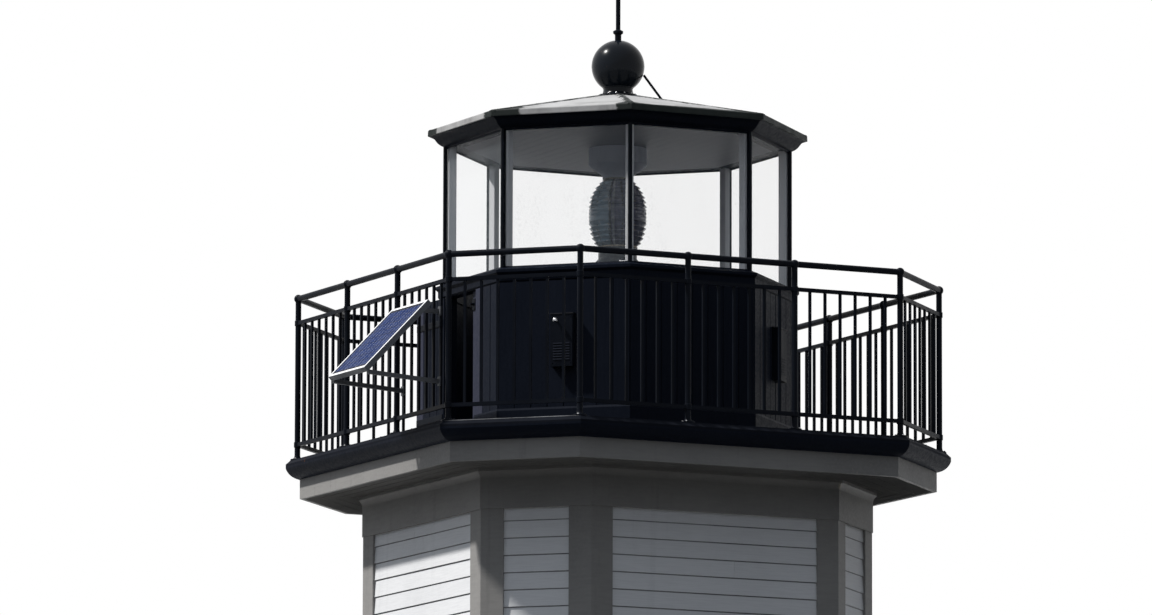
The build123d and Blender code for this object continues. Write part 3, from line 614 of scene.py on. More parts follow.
@dataclass(frozen=True)
class CellGlass:
    """Glazed blue-violet cells with a crystal pattern."""

    name: str
    colour: Triple
    shift: Triple

    def build(self) -> bpy.types.Material:
        """Make the material.

        Returns:
            The material.
        """
        r = Recipe(self.name)
        colour = r.blend(r.cells(60.0).span(0.2, 0.8, 0.0, 0.7), self.colour, self.shift)
        colour = r.blend(r.tone() * 0.3, colour, self.shift)
        haze = r.noise(8.0, 4.0, 0.6)
        return r.finish(Base_Color=colour, Roughness=haze.span(0.3, 0.7, 0.26, 0.4), Specular_IOR_Level=0.012)


RECIPES = {
    "granite": SplitGranite("split_granite", (0.40, 0.39, 0.37), (0.13, 0.13, 0.13), (0.62, 0.61, 0.58)),
    "floor_boards": PaintedWood("worn_floor_boards", (0.34, 0.25, 0.17), (0.12, 0.09, 0.06), grain=(70.0, 3.0, 70.0),
                                roughness=0.55, board_pitch=0.14, streaks=0.0),
    "white_paint": PaintedWood("white_clapboard_paint", (0.88, 0.89, 0.91), (0.47, 0.48, 0.50), grime_amount=0.16,
                               tone_spread=0.10, streaks=0.12, roughness=0.46, relief=0.0008, course=COURSE,
                               gloss=0.14),
    "grey_trim": PaintedWood("warm_grey_trim_paint", (0.315, 0.308, 0.300), (0.155, 0.154, 0.154),
                             bare=(0.36, 0.33, 0.28), grain=(9.0, 9.0, 60.0), grime_amount=0.45, wear=0.008,
                             streaks=0.3, gloss=0.09),
    "dark_door": PaintedWood("dark_door_paint", (0.020, 0.026, 0.030), (0.055, 0.058, 0.058),
                             grain=(90.0, 90.0, 5.0), roughness=0.3, grime_amount=0.4, streaks=0.15),
    "window_glass": ClearGlass("window_pane_glass", (0.055, 0.075, 0.09), 0.74, film=0.05, gloss=0.16),
    "black_paint": PaintedWood("black_board_paint", (0.0050, 0.0070, 0.0125), (0.016, 0.020, 0.032),
                               grain=(70.0, 70.0, 5.0), roughness=0.42, grime_amount=0.35, tone_spread=0.25,
                               streaks=0.2, gloss=0.02),
    "deck_black": PaintedIron("matt_deck_paint", (0.0070, 0.0085, 0.0130), (0.016, 0.018, 0.025), roughness=0.6,
                              rust_amount=0.02, relief=0.0010, gloss=0.02),
    "black_iron": PaintedIron("glossy_black_iron", (0.0040, 0.0056, 0.0095), (0.0095, 0.012, 0.018),
                              roughness=0.34, rust_amount=-0.03, gloss=0.035),
    "ball_paint": PaintedIron("glossy_ball_paint", (0.0045, 0.0070, 0.0110), (0.008, 0.011, 0.016),
                              roughness=0.19, rust_amount=0.0, relief=0.00006, gloss=0.10, dulling=0.05),
    # pale patches on black: partly worn paint, partly a painted highlight along the deck's edge
    "edge_wear_and_highlight": PaintedIron("worn_edge_metal", (0.030, 0.033, 0.038), (0.42, 0.43, 0.45), roughness=0.4,
                               rust_amount=0.02, gloss=0.3),
    "worn_paint": PaintedWood("worn_stop_board_paint", (0.042, 0.046, 0.072), (0.020, 0.023, 0.036),
                              bare=(0.12, 0.12, 0.13), grain=(60.0, 60.0, 5.0), wear=0.02, gloss=0.05),
    "white_wood": PaintedWood("white_lantern_paint", (0.89, 0.90, 0.92), (0.52, 0.52, 0.54),
                              grain=(60.0, 60.0, 5.0), roughness=0.38, grime_amount=0.35),
    "lantern_glass": ClearGlass("lantern_pane_glass", (0.62, 0.70, 0.76), 0.04),
    "roof_metal": RoofPaint("weathered_roof_paint", (0.45, 0.45, 0.45), (0.010, 0.014, 0.0135), (0.24, 0.24, 0.24)),
    # lens: lit glass, its swirls, painted highlight, then painted shade in the middle and on the far side
    "lens_glass": PressedGlass("pressed_lens_glass", (0.52, 0.68, 0.80), (0.32, 0.42, 0.51), (0.90, 0.92, 0.95),
                               (0.31, 0.31, 0.45), (0.17, 0.17, 0.26)),
    "brass": BareMetal("dull_bronze", (0.115, 0.105, 0.085), (0.055, 0.052, 0.045), roughness=0.4),
    "pedestal_paint": PaintedIron("grey_pedestal_paint", (0.13, 0.14, 0.145), (0.20, 0.21, 0.21), roughness=0.45,
                                  rust_amount=0.02),
    "grey_metal": BareMetal("galvanised_metal", (0.30, 0.31, 0.33), (0.17, 0.18, 0.20), roughness=0.42),
    # painted shade: the frame's pale finish darkened because its sides fall in shade; the lit copy is the lip below
    "aluminium_frame": BareMetal("anodised_frame", (0.17, 0.18, 0.20), (0.12, 0.13, 0.145), roughness=0.5,
                                 grain=120.0, metallic=0.0, gloss=0.12),
    # lit copy of the frame's finish, for the sunlit top lip
    "panel_lip": BareMetal("bright_panel_lip", (0.86, 0.87, 0.88), (0.72, 0.73, 0.74), roughness=0.45, grain=120.0,
                           metallic=0.1),
    "solar_cells": CellGlass("glazed_solar_cells", (0.007, 0.019, 0.082), (0.012, 0.032, 0.130)),
    "ceiling": PaintedWood("boarded_ceiling_paint", (0.30, 0.305, 0.335), (0.20, 0.20, 0.225),
                           grain=(60.0, 5.0, 60.0), grime_amount=0.3, board_pitch=0.09, streaks=0.0, gloss=0.06),
    "soffit": PaintedWood("boarded_soffit_paint", (0.27, 0.265, 0.255), (0.13, 0.13, 0.13),
                          grain=(60.0, 5.0, 60.0), roughness=0.55, streaks=0.0, gloss=0.0),
    # dark back sheet; its margin inside the lip is also painted shade for the shadow in the gap there
    "cell_backing": CellGlass("dark_cell_backing", (0.012, 0.013, 0.022), (0.03, 0.03, 0.045)),
    "funnel_paint": PaintedIron("pale_funnel_paint", (0.82, 0.85, 0.94), (0.64, 0.67, 0.75), roughness=0.6,
                                rust_amount=0.01, gloss=0.1),
    "bright_knob": BareMetal("worn_bright_knob", (0.82, 0.83, 0.85), (0.45, 0.46, 0.48), roughness=0.2),
    "bright_dome": BareMetal("bright_sensor_dome", (0.95, 0.95, 0.96), (0.80, 0.80, 0.82), roughness=0.14),
    "bracket_paint": PaintedIron("dark_bracket_paint", (0.075, 0.080, 0.090), (0.13, 0.13, 0.14), roughness=0.5,
                                 rust_amount=0.03),
    "rusty_lids": PaintedIron("rusty_lid_paint", (0.012, 0.014, 0.018), (0.03, 0.032, 0.04), (0.17, 0.065, 0.05),
                              roughness=0.5, rust_amount=0.10, gloss=0.15),
    "foot_bolts": BareMetal("part_painted_bolts", (0.62, 0.63, 0.65), (0.3, 0.3, 0.32), painted=0.7),
    "bus_bars": BareMetal("silver_bus_bars", (0.48, 0.52, 0.60), (0.34, 0.38, 0.46), roughness=0.3),
    "bright_rivets": BareMetal("worn_bright_rivets", (0.45, 0.46, 0.48), (0.10, 0.10, 0.11), roughness=0.3),
}
NODE_FINISHES = {"lantern_ceiling": "ceiling", "gallery_soffit": "soffit", "vent_funnel": "funnel_paint",
                 "light_sensor": "bright_dome", "solar_bracket": "bracket_paint"}


class Finishes:
    """All finishes of the lighthouse, made once each."""

    def __init__(self) -> None:
        """Start with none made."""
        self.made: dict[str, bpy.types.Material] = {}

    def get(self, name: str) -> bpy.types.Material:
        """Material of a finish, made at its first use.

        Args:
            name: key of the finish.

        Returns:
            The material.
        """
        if name not in self.made:
            self.made[name] = RECIPES[name].build()
        return self.made[name]

    def dress_frame(self) -> None:
        """Give every CAD node the finish of its slot, or its own."""
        for part in frame["record"]["subparts"]:
            node = frame["nodes"][part["node"]]
            node.data.materials.clear()
            node.data.materials.append(self.get(NODE_FINISHES.get(part["node"], part["material_slot"])))


FINISHES = Finishes()


class Layout(Graph):
    """Geometry Nodes tree with named inputs, run on an object and read back as a plain mesh."""

    def __init__(self, name: str, **kinds: str) -> None:
        """Start a tree.

        Args:
            name: name of the tree.
            kinds: socket types of its own inputs by name, beside those that every tree has.
        """
        super().__init__(bpy.data.node_groups.new(name, "GeometryNodeTree"))
        sockets = self.tree.interface
        sockets.new_socket("Geometry", in_out="OUTPUT", socket_type="NodeSocketGeometry")
        shared = {"Piece": "Object", "Turn": "Float", "Play": "Float", "Seed": "Int", "Finish": "Material"}
        for key, kind in {"Geometry": "Geometry", **kinds, **shared}.items():
            sockets.new_socket(key, in_out="INPUT", socket_type="NodeSocket" + kind)
        self.entry = self.node("NodeGroupInput")
        self.piece = self.add("GeometryNodeObjectInfo", {"Object": self.value("Piece")}, "Geometry")

    def value(self, name: str) -> Value:
        """Value of a named input."""
        return Value(self, self.entry.outputs[name])

    def vector(self, x: Value | float = 0.0, y: Value | float = 0.0, z: Value | float = 0.0) -> Value:
        """Vector from three values."""
        return self.add("ShaderNodeCombineXYZ", {"X": x, "Y": y, "Z": z})

    def chance(self, low: float, high: float, offset: int) -> Value:
        """Random value for each element, from the tree's Seed input."""
        feeds = {"Seed": self.value("Seed") + float(offset), 2: low, 3: high}
        return self.add("FunctionNodeRandomValue", feeds, 1, data_type="FLOAT")

    def store(self, geometry: Value, name: str, value: Value | float, domain: str = "POINT") -> Value:
        """Geometry with a value stored on it under a name."""
        feeds = {"Geometry": geometry, "Name": name, "Value": value}
        return self.add("GeometryNodeStoreNamedAttribute", feeds, data_type="FLOAT", domain=domain)

    def stored(self, name: str, kind: str = "FLOAT") -> Value:
        """Value stored under a name."""
        return self.add("GeometryNodeInputNamedAttribute", {"Name": name}, data_type=kind)

    def turned(self, angles: Value) -> Value:
        """Rotation from angles about the axes."""
        return self.add("FunctionNodeEulerToRotation", {0: angles})

    def set_out(self, points: Value, **feeds: Value) -> Value:
        """Piece set on each point."""
        return self.add("GeometryNodeInstanceOnPoints", {"Points": points, "Instance": self.piece, **feeds})

    def close(self, instances: Value) -> "Layout":
        """Give each instance its tone and play, realize them, turn them to their side and set the finish.

        Args:
            instances: geometry with the instances.

        Returns:
            The finished tree.
        """
        toned = self.store(instances, "tone", self.chance(0.0, 1.0, 7), "INSTANCE")
        play = self.chance(-0.5, 0.5, 11) * self.value("Play")
        moved = self.add("GeometryNodeTranslateInstances", {"Instances": toned, "Translation": self.vector(y=play)})
        real = self.add("GeometryNodeRealizeInstances", {"Geometry": moved})
        turned = self.add("GeometryNodeTransform",
                          {"Geometry": real, "Rotation": self.vector(z=self.value("Turn"))})
        done = self.add("GeometryNodeSetMaterial", {"Geometry": turned, "Material": self.value("Finish")})
        self.node("NodeGroupOutput", {0: done})
        return self

    def run(self, host: bpy.types.Object, values: dict[str, object]) -> Mesh:
        """Evaluate the tree on a host object.

        Args:
            host: object that carries the modifier while it is evaluated.
            values: input values by name.

        Returns:
            Plain mesh of the result.
        """
        modifier = host.modifiers.new("layout", "NODES")
        modifier.node_group = self.tree
        for item in self.tree.interface.items_tree:
            if item.in_out == "INPUT" and item.name in values:
                modifier[item.identifier] = values[item.name]
        graph = bpy.context.evaluated_depsgraph_get()
        mesh = bpy.data.meshes.new_from_object(host.evaluated_get(graph), depsgraph=graph)
        host.modifiers.remove(modifier)
        return mesh


def course_layout(gap: float = 0.0012) -> Layout:
    """Tree that lays lapped boards in courses on a strip of wall, some with a butt joint.

    Args:
        gap: gap between two boards of a course.

    Returns:
        The tree.
    """
    t = Layout("lapped_courses", Courses="Int", Exposure="Float", Length="Float", Lowest="Float", Along="Float",
               Face="Float", Joints="Float")
    line = t.add("GeometryNodeMeshLine", {"Count": t.value("Courses"),
                                          "Start Location": t.vector(z=t.value("Lowest")),
                                          "Offset": t.vector(z=t.value("Exposure"))})
    jointed = t.maths("LESS_THAN", t.chance(0.0, 1.0, 1), t.value("Joints"))
    share = t.add("GeometryNodeSwitch", {"Switch": jointed, "False": 1.0, "True": t.chance(0.25, 0.75, 2)},
                  input_type="FLOAT")
    half = t.value("Length") * 0.5
    join = t.node("GeometryNodeJoinGeometry")
    for part, shift, chosen in ((share, (share - 1.0) * half, 1.0), (1.0 - share, share * half, jointed)):
        # the fields are stored before the line's points move
        held = t.store(t.store(line, "part", part), "chosen", chosen)
        place = t.vector(shift + t.value("Along"), t.value("Face") * -1.0)
        moved = t.add("GeometryNodeSetPosition", {"Geometry": held, "Offset": place})
        size = t.stored("part") * t.value("Length") - gap
        laid = t.set_out(moved, Scale=t.vector(size, 1.0, 1.0),
                         Selection=t.maths("GREATER_THAN", t.stored("chosen"), 0.5))
        t.tree.links.new(laid.socket, join.inputs[0])
    return t.close(Value(t, join.outputs[0]))


def row_layout() -> Layout:
    """Tree that sets one piece at even steps along a line on one side.

    Returns:
        The tree.
    """
    t = Layout("even_row", Count="Int", Start="Vector", Step="Vector", Size="Vector", Tilt="Vector")
    line = t.add("GeometryNodeMeshLine", {"Count": t.value("Count"), "Start Location": t.value("Start"),
                                          "Offset": t.value("Step")})
    return t.close(t.set_out(line, Scale=t.value("Size"), Rotation=t.turned(t.value("Tilt"))))


def ring_layout() -> Layout:
    """Tree that sets one piece evenly round a circle about the axis.

    Returns:
        The tree.
    """
    t = Layout("even_ring", Count="Int", Radius="Float", Level="Float", First="Float")
    line = t.add("GeometryNodeMeshLine", {"Count": t.value("Count")})
    step = t.maths("DIVIDE", 2.0 * math.pi, t.value("Count"))
    angle = t.add("GeometryNodeInputIndex") * step + t.value("First")
    spot = t.vector(t.maths("COSINE", angle) * t.value("Radius"), t.maths("SINE", angle) * t.value("Radius"),
                    t.value("Level"))
    placed = t.add("GeometryNodeSetPosition", {"Geometry": line, "Position": spot})
    return t.close(t.set_out(placed, Rotation=t.turned(t.vector(z=angle + math.pi / 2.0))))


def spot_layout() -> Layout:
    """Tree that sets one piece on each point of the host, turned and sized by the point's own values.

    Returns:
        The tree.
    """
    t = Layout("set_on_points")
    return t.close(t.set_out(t.value("Geometry"), Scale=t.stored("size", "FLOAT_VECTOR"),
                             Rotation=t.turned(t.stored("spin", "FLOAT_VECTOR"))))


COURSES = course_layout()
ROWS = row_layout()
RINGS = ring_layout()
SPOTS = spot_layout()


class Assembly:
    """Base of every sub-assembly: makes meshes, sets out repeated pieces and joins them."""

    def place(self, mesh: Mesh, name: str) -> bpy.types.Object:
        """Put a mesh in the scene under a name.

        Args:
            mesh: the mesh.
            name: name of both the mesh and the object.

        Returns:
            The object.
        """
        mesh.name = name
        piece = bpy.data.objects.new(name, mesh)
        bpy.context.scene.collection.objects.link(piece)
        return piece

    def loft(self, rings: Sequence[Sequence[Sequence[float]]], loop: bool = False, split: bool = False) -> Mesh:
        """Skin over a row of rings of points, with its normals pointing outwards.

        Args:
            rings: rings with the same number of points.
            loop: joins the last ring to the first, in place of a cap on each.
            split: leaves every ring open between its last point and its first.

        Returns:
            The mesh.
        """
        count, total = len(rings[0]), len(rings)
        faces = []
        for k in range(total if loop else total - 1):
            near, far = k * count, (k + 1) % total * count
            for j in range(count - split):
                i = (j + 1) % count
                faces.append((near + j, far + j, far + i, near + i))
        if not loop:
            faces += [tuple(range(count)), tuple(range(count * (total - 1), count * total))]
        mesh = bpy.data.meshes.new("loft")
        mesh.from_pydata([tuple(point) for ring in rings for point in ring], [], faces)
        form = bmesh.new()
        form.from_mesh(mesh)
        bmesh.ops.remove_doubles(form, verts=form.verts, dist=1e-6)
        bmesh.ops.recalc_face_normals(form, faces=form.faces)
        form.to_mesh(mesh)
        form.free()
        return mesh

    def bar(self, outline: Sequence[Point], length: float = 1.0) -> Mesh:
        """Bar along X, centred, with an outline in Y and Z."""
        return self.loft([[(end * length / 2, y, z) for y, z in outline] for end in (-1, 1)])

    def upright(self, outline: Sequence[Point], low: float = 0.0, high: float = 1.0) -> Mesh:
        """Upright piece with an outline in X and Y."""
        return self.loft([[(x, y, z) for x, y in outline] for z in (low, high)])

    def block(self, size: Sequence[float], bevel: float, segments: int = 2) -> Mesh:
        """Block with rounded edges, centred on the origin.

        Args:
            size: lengths along X, Y and Z.
            bevel: width of the rounding.
            segments: steps across the rounding.

        Returns:
            The mesh.
        """
        form = bmesh.new()
        bmesh.ops.create_cube(form, size=1.0)
        bmesh.ops.scale(form, vec=Vector(size), verts=form.verts)
        bmesh.ops.bevel(form, geom=form.edges[:], offset=bevel, segments=segments, profile=0.6, affect="EDGES")
        mesh = bpy.data.meshes.new("block")
        form.to_mesh(mesh)
        form.free()
        return mesh

    def turned(self, profile: Sequence[Point], segments: int = 32, smooth: float = 40.0) -> Mesh:
        """Turned piece about Z.

        Args:
            profile: radius and height points; it closes on the axis where the radius is 0.
            segments: number of facets round the axis.
            smooth: greatest angle in degrees that is shaded smooth.

        Returns:
            The mesh.
        """
        angles = [2.0 * math.pi * k / segments for k in range(segments)]
        rings = [[(r * math.cos(a), r * math.sin(a), z) for r, z in profile] for a in angles]
        mesh = self.loft(rings, True, profile[0][0] == profile[-1][0] == 0.0)
        mesh.shade_smooth()
        mesh.set_sharp_from_angle(angle=math.radians(smooth))
        return mesh

    def run_round(self, plan: Plan, out: float, level: float, profile: Sequence[Point]) -> Mesh:
        """Closed moulding round a plan with mitred corners; the profile is drawn from a line out on the plan."""
        return self.loft([[(*plan.corner_at(k, out + off).xy, level + up) for off, up in profile]
                          for k in range(8)], True)

    def moved(self, mesh: Mesh, place: Sequence[float], turn: Matrix = Matrix.Identity(4)) -> Mesh:
        """Turn a mesh and bring it to its place."""
        mesh.transform(Matrix.Translation(place) @ turn)
        return mesh

    def lay(self, mesh: Mesh, finish: str, spots: Sequence[Spot] = (), layout: Layout = SPOTS, **values: object
            ) -> Mesh:
        """Run a tree once with a mesh as its piece.

        Args:
            mesh: mesh of the repeated piece.
            finish: key of the finish.
            spots: points for the tree that reads them.
            layout: the tree.
            values: the tree's other inputs.

        Returns:
            Mesh of the laid pieces.
        """
        points = bpy.data.meshes.new("host")
        points.from_pydata([tuple(s.place) for s in spots], [], [])
        for key in ("spin", "size"):
            layer = points.attributes.new(key, "FLOAT_VECTOR", "POINT")
            for item, spot in zip(layer.data, spots):
                item.vector = getattr(spot, key)
        host, piece = self.place(points, "host"), self.place(mesh, "piece")
        result = layout.run(host, {"Turn": 0.0, "Play": 0.0, "Seed": 1, "Finish": FINISHES.get(finish),
                                   "Piece": piece, **values})
        bpy.data.objects.remove(piece)
        bpy.data.objects.remove(host)
        return result

    def row(self, mesh: Mesh, finish: str, count: int, start: Triple, step: Triple, size: Triple = WHOLE,
            tilt: Triple = STILL, **values: object) -> Mesh:
        """Set a mesh at even steps along a line."""
        return self.lay(mesh, finish, layout=ROWS, Count=count, Start=start, Step=step, Size=size, Tilt=tilt,
                        **values)

    def join(self, name: str, finish: str, slot: Slot, *meshes: Mesh, replaces: Sequence[str] = ()) -> None:
        """Join meshes into one finished piece of the building, riding on the body.

        Args:
            name: name of the piece.
            finish: key of the finish.
            slot: material slot of the record; not used.
            meshes: meshes to join.
            replaces: CAD nodes that the piece stands for.
        """
        parts = [self.place(mesh, name) for mesh in meshes]
        with bpy.context.temp_override(active_object=parts[0], selected_editable_objects=parts):
            if len(parts) > 1:
                bpy.ops.object.join()
        piece = parts[0]
        piece.name = name
        piece.data.materials.clear()
        piece.data.materials.append(FINISHES.get(finish))
        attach(piece, "root")
        if replaces:
            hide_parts(*replaces)
        LOG.info("%s: %d triangles", name, sum(len(face.vertices) - 2 for face in piece.data.polygons))

    def set_out(self, name: str, finish: str, slot: Slot, mesh: Mesh, spots: Sequence[Spot],
                replaces: Sequence[str] = (), **values: object) -> None:
        """Make one piece of the building from a mesh set on spots."""
        self.join(name, finish, slot, self.lay(mesh, finish, spots, **values), replaces=replaces)


@dataclass(frozen=True)
class Opening:
    """Window or door opening in a wall: half-width and levels."""

    half_width: float
    low: float
    high: float


@dataclass
class Masonry(Assembly):
    """Granite blocks of the foundation in two courses, and the step."""

    height: float = 0.300
    spread: float = 0.070
    joint: float = 0.010
    courses: int = 2
    stone_length: float = 0.56
    stone_depth: float = 0.105
    sunk: float = 0.055
    rounding: float = 0.045
    step_rounding: float = 0.014

    def build(self) -> None:
        """Lay the blocks over a mortar core and round off the step."""
        plan = TOWER.grown(self.spread)
        tall = self.height / self.courses
        spots = []
        for side in Side:
            length = plan.length(side)
            for course in range(self.courses):
                count = max(2, round(length / self.stone_length)) + (course % 2)
                wide = length / count
                spots += [plan.spot(side, -length / 2 + wide * (k + 0.5), -self.sunk, tall * (course + 0.5),
                                    (wide - self.joint, self.stone_depth, tall - self.joint)) for k in range(count)]
        blocks = self.lay(self.block(WHOLE, self.rounding), "granite", spots, Play=0.006, Seed=5)
        core = self.run_round(plan, 0.0, 0.0, [(-0.9, 0.0), (-0.014, 0.0), (-0.014, self.height),
                                               (-0.9, self.height)])
        self.join("foundation_blocks", "granite", Slot.GRANITE, blocks, core, replaces=["foundation"])
        low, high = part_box("door_step")
        step = self.moved(self.block(high - low, self.step_rounding, 3), (low + high) / 2)
        self.join("granite_step", "granite", Slot.GRANITE, step, replaces=["door_step"])


@dataclass
class ClapboardWalls(Assembly):
    """Lapped boards on the eight walls, cut short at the windows and the entrance."""

    lap: float = 0.024
    butt: float = 0.013
    top: float = 0.004
    foot: float = 0.40
    corner_cover: float = 0.120
    joint_share: float = 0.22
    longest_plain: float = 1.0
    play: float = 0.0012
    windows: tuple[Opening, ...] = (Opening(0.385, 3.30, 4.34), Opening(0.385, 5.505, 6.545))
    entrance: Opening = Opening(0.480, 0.30, 2.34)

    def board(self) -> Mesh:
        """One tapered board of unit length with an eased lower edge.

        Returns:
            The mesh.
        """
        height = COURSE + self.lap
        return self.bar([(0.0, 0.0), (-self.butt + 0.0015, 0.0), (-self.butt, 0.002), (-self.top, height),
                         (0.0, height)])

    def opening_at(self, side: Side, course: int) -> Opening | None:
        """Opening that a course meets, if any.

        Args:
            side: side of the tower.
            course: number of the course.

        Returns:
            The opening, or None.
        """
        openings = list(self.windows) if side.is_main else []
        if side is Side.FRONT:
            openings.append(self.entrance)
        low = COURSE_START + course * COURSE
        return next((gap for gap in openings if low + COURSE > gap.low and low < gap.high), None)

    def strips(self, side: Side) -> list[tuple[float, float, int, int]]:
        """Strips of whole boards on one wall.

        Args:
            side: side of the tower.

        Returns:
            Middle, length, first course and number of courses of each strip.
        """
        half = TOWER.length(side) / 2 - self.corner_cover
        courses = range(-math.ceil((COURSE_START - self.foot) / COURSE),
                        math.floor((FRIEZE_LEVEL - COURSE_START) / COURSE) + 1)
        found = []
        for gap, met in groupby(courses, lambda course: self.opening_at(side, course)):
            run = list(met)
            if gap is None:
                places = [(0.0, 2 * half)]
            else:
                length = half - gap.half_width
                places = [(way * (gap.half_width + length / 2), length) for way in (-1, 1)]
            found += [(along, length, run[0], len(run)) for along, length in places]
        return found

    def build(self) -> None:
        """Lay the boards of all eight walls."""
        for side in Side:
            meshes = [self.lay(self.board(), "white_paint", layout=COURSES, Courses=count, Exposure=COURSE,
                               Length=length, Lowest=COURSE_START + course * COURSE, Along=along,
                               Face=TOWER.distance(side), Turn=side.turn,
                               Joints=self.joint_share if length > self.longest_plain else 0.0, Play=self.play,
                               Seed=31 * side.value + 7 * k + 3)
                      for k, (along, length, course, count) in enumerate(self.strips(side))]
            self.join("clapboards_" + side.name.lower(), "white_paint", Slot.WHITE_PAINT, *meshes)


@dataclass
class WindowBars(Assembly):
    """Glazing bars of the eight sash windows."""

    sash_half: float = 0.270
    first_pane: float = 0.070
    pane_height: float = 0.4275
    meeting_rail: float = 0.045
    bar_width: float = 0.018
    depth: float = 0.016
    glass_front: float = 0.087
    levels: Point = (3.300, 5.505)

    def build(self) -> None:
        """Set the bars in front of every pane."""
        out = -self.glass_front + self.depth / 2
        upright = (self.bar_width, self.depth, self.pane_height)
        level_bar = (2 * self.sash_half, self.depth * 0.96, self.bar_width)
        spots = []
        for side in (side for side in Side if side.is_main):
            for level in self.levels:
                first = level + self.first_pane
                for base in (first, first + self.pane_height + self.meeting_rail):
                    middle = base + self.pane_height / 2
                    spots += [TOWER.spot(side, way * self.sash_half / 3, out, middle, upright) for way in (-1, 1)]
                    spots.append(TOWER.spot(side, 0.0, out, middle, level_bar))
        bar = self.bar([(-0.5, -0.32), (-0.32, -0.5), (0.5, -0.5), (0.5, 0.5), (-0.32, 0.5), (-0.5, 0.32)])
        self.set_out("window_glazing_bars", "grey_trim", Slot.GREY_TRIM, bar, spots)


@dataclass
class Entrance(Assembly):
    """Raised fields, knob, plate, hinges and threshold of the entrance door."""

    face: float = 1.320
    panel_face: float = 1.310
    width: float = 0.780
    height: float = 1.960
    foot: float = 0.340
    stile: float = 0.115
    bottom_rail: float = 1.6
    panel_shares: Point = (0.34, 0.46)
    field_inset: float = 0.05
    knob_along: float = 0.325
    knob_level: float = 1.33
    hinge_along: float = -0.386
    hinge_levels: Triple = (0.62, 1.32, 2.05)

    def fields(self) -> None:
        """Raised fields in the four panels of the leaf."""
        panel = (self.width - 3 * self.stile) / 2
        spots = []
        base = self.foot + self.bottom_rail * self.stile
        for share in self.panel_shares:
            tall = share * self.height - self.stile
            for way in (-1, 1):
                place = Vector((way * (panel + self.stile) / 2, -self.panel_face - 0.003, base + tall / 2))
                spots.append(Spot(place, STILL, (panel - self.field_inset, 1.0, tall - self.field_inset)))
            base += share * self.height
        rim = [(0.5, 0.006), (0.5, 0.0), (0.42, -0.007)]
        field = self.loft([[(x * half, y, z * half) for x, z in ((-1, -1), (1, -1), (1, 1), (-1, 1))]
                           for half, y in rim])
        self.set_out("entrance_raised_fields", "dark_door", Slot.DARK_DOOR, field, spots)

    def furniture(self) -> None:
        """Knob on its plate, and three hinge barrels."""
        knob = self.turned([(0.0, 0.0), (0.021, 0.0), (0.021, 0.004), (0.009, 0.008), (0.009, 0.026), (0.020, 0.034),
                            (0.027, 0.044), (0.024, 0.055), (0.012, 0.061), (0.0, 0.062)], 28)
        self.moved(knob, (self.knob_along, -self.face - 0.004, self.knob_level), Matrix.Rotation(QUARTER_TURN, 4, "X"))
        plate = self.moved(self.block((0.052, 0.006, 0.230), 0.0025),
                           (self.knob_along, -self.face - 0.002, self.knob_level - 0.03))
        barrel = self.turned([(0.0, -0.055), (0.004, -0.054), (0.0075, -0.048), (0.0075, 0.048), (0.004, 0.054),
                              (0.0, 0.055)], 16)
        hinges = [Spot(Vector((self.hinge_along, -self.face - 0.003, level))) for level in self.hinge_levels]
        self.join("entrance_furniture", "brass", Slot.BRASS, knob, plate, self.lay(barrel, "brass", hinges))

    def build(self) -> None:
        """Dress the entrance door, with a sloped sill in the gap of the water table."""
        sill = self.bar([(-1.300, 0.3005), (-1.428, 0.3005), (-1.434, 0.306), (-1.434, 0.328), (-1.428, 0.334),
                         (-1.300, 0.3395)], 1.064)
        self.join("entrance_threshold", "grey_trim", Slot.GREY_TRIM, sill)
        self.fields()
        self.furniture()


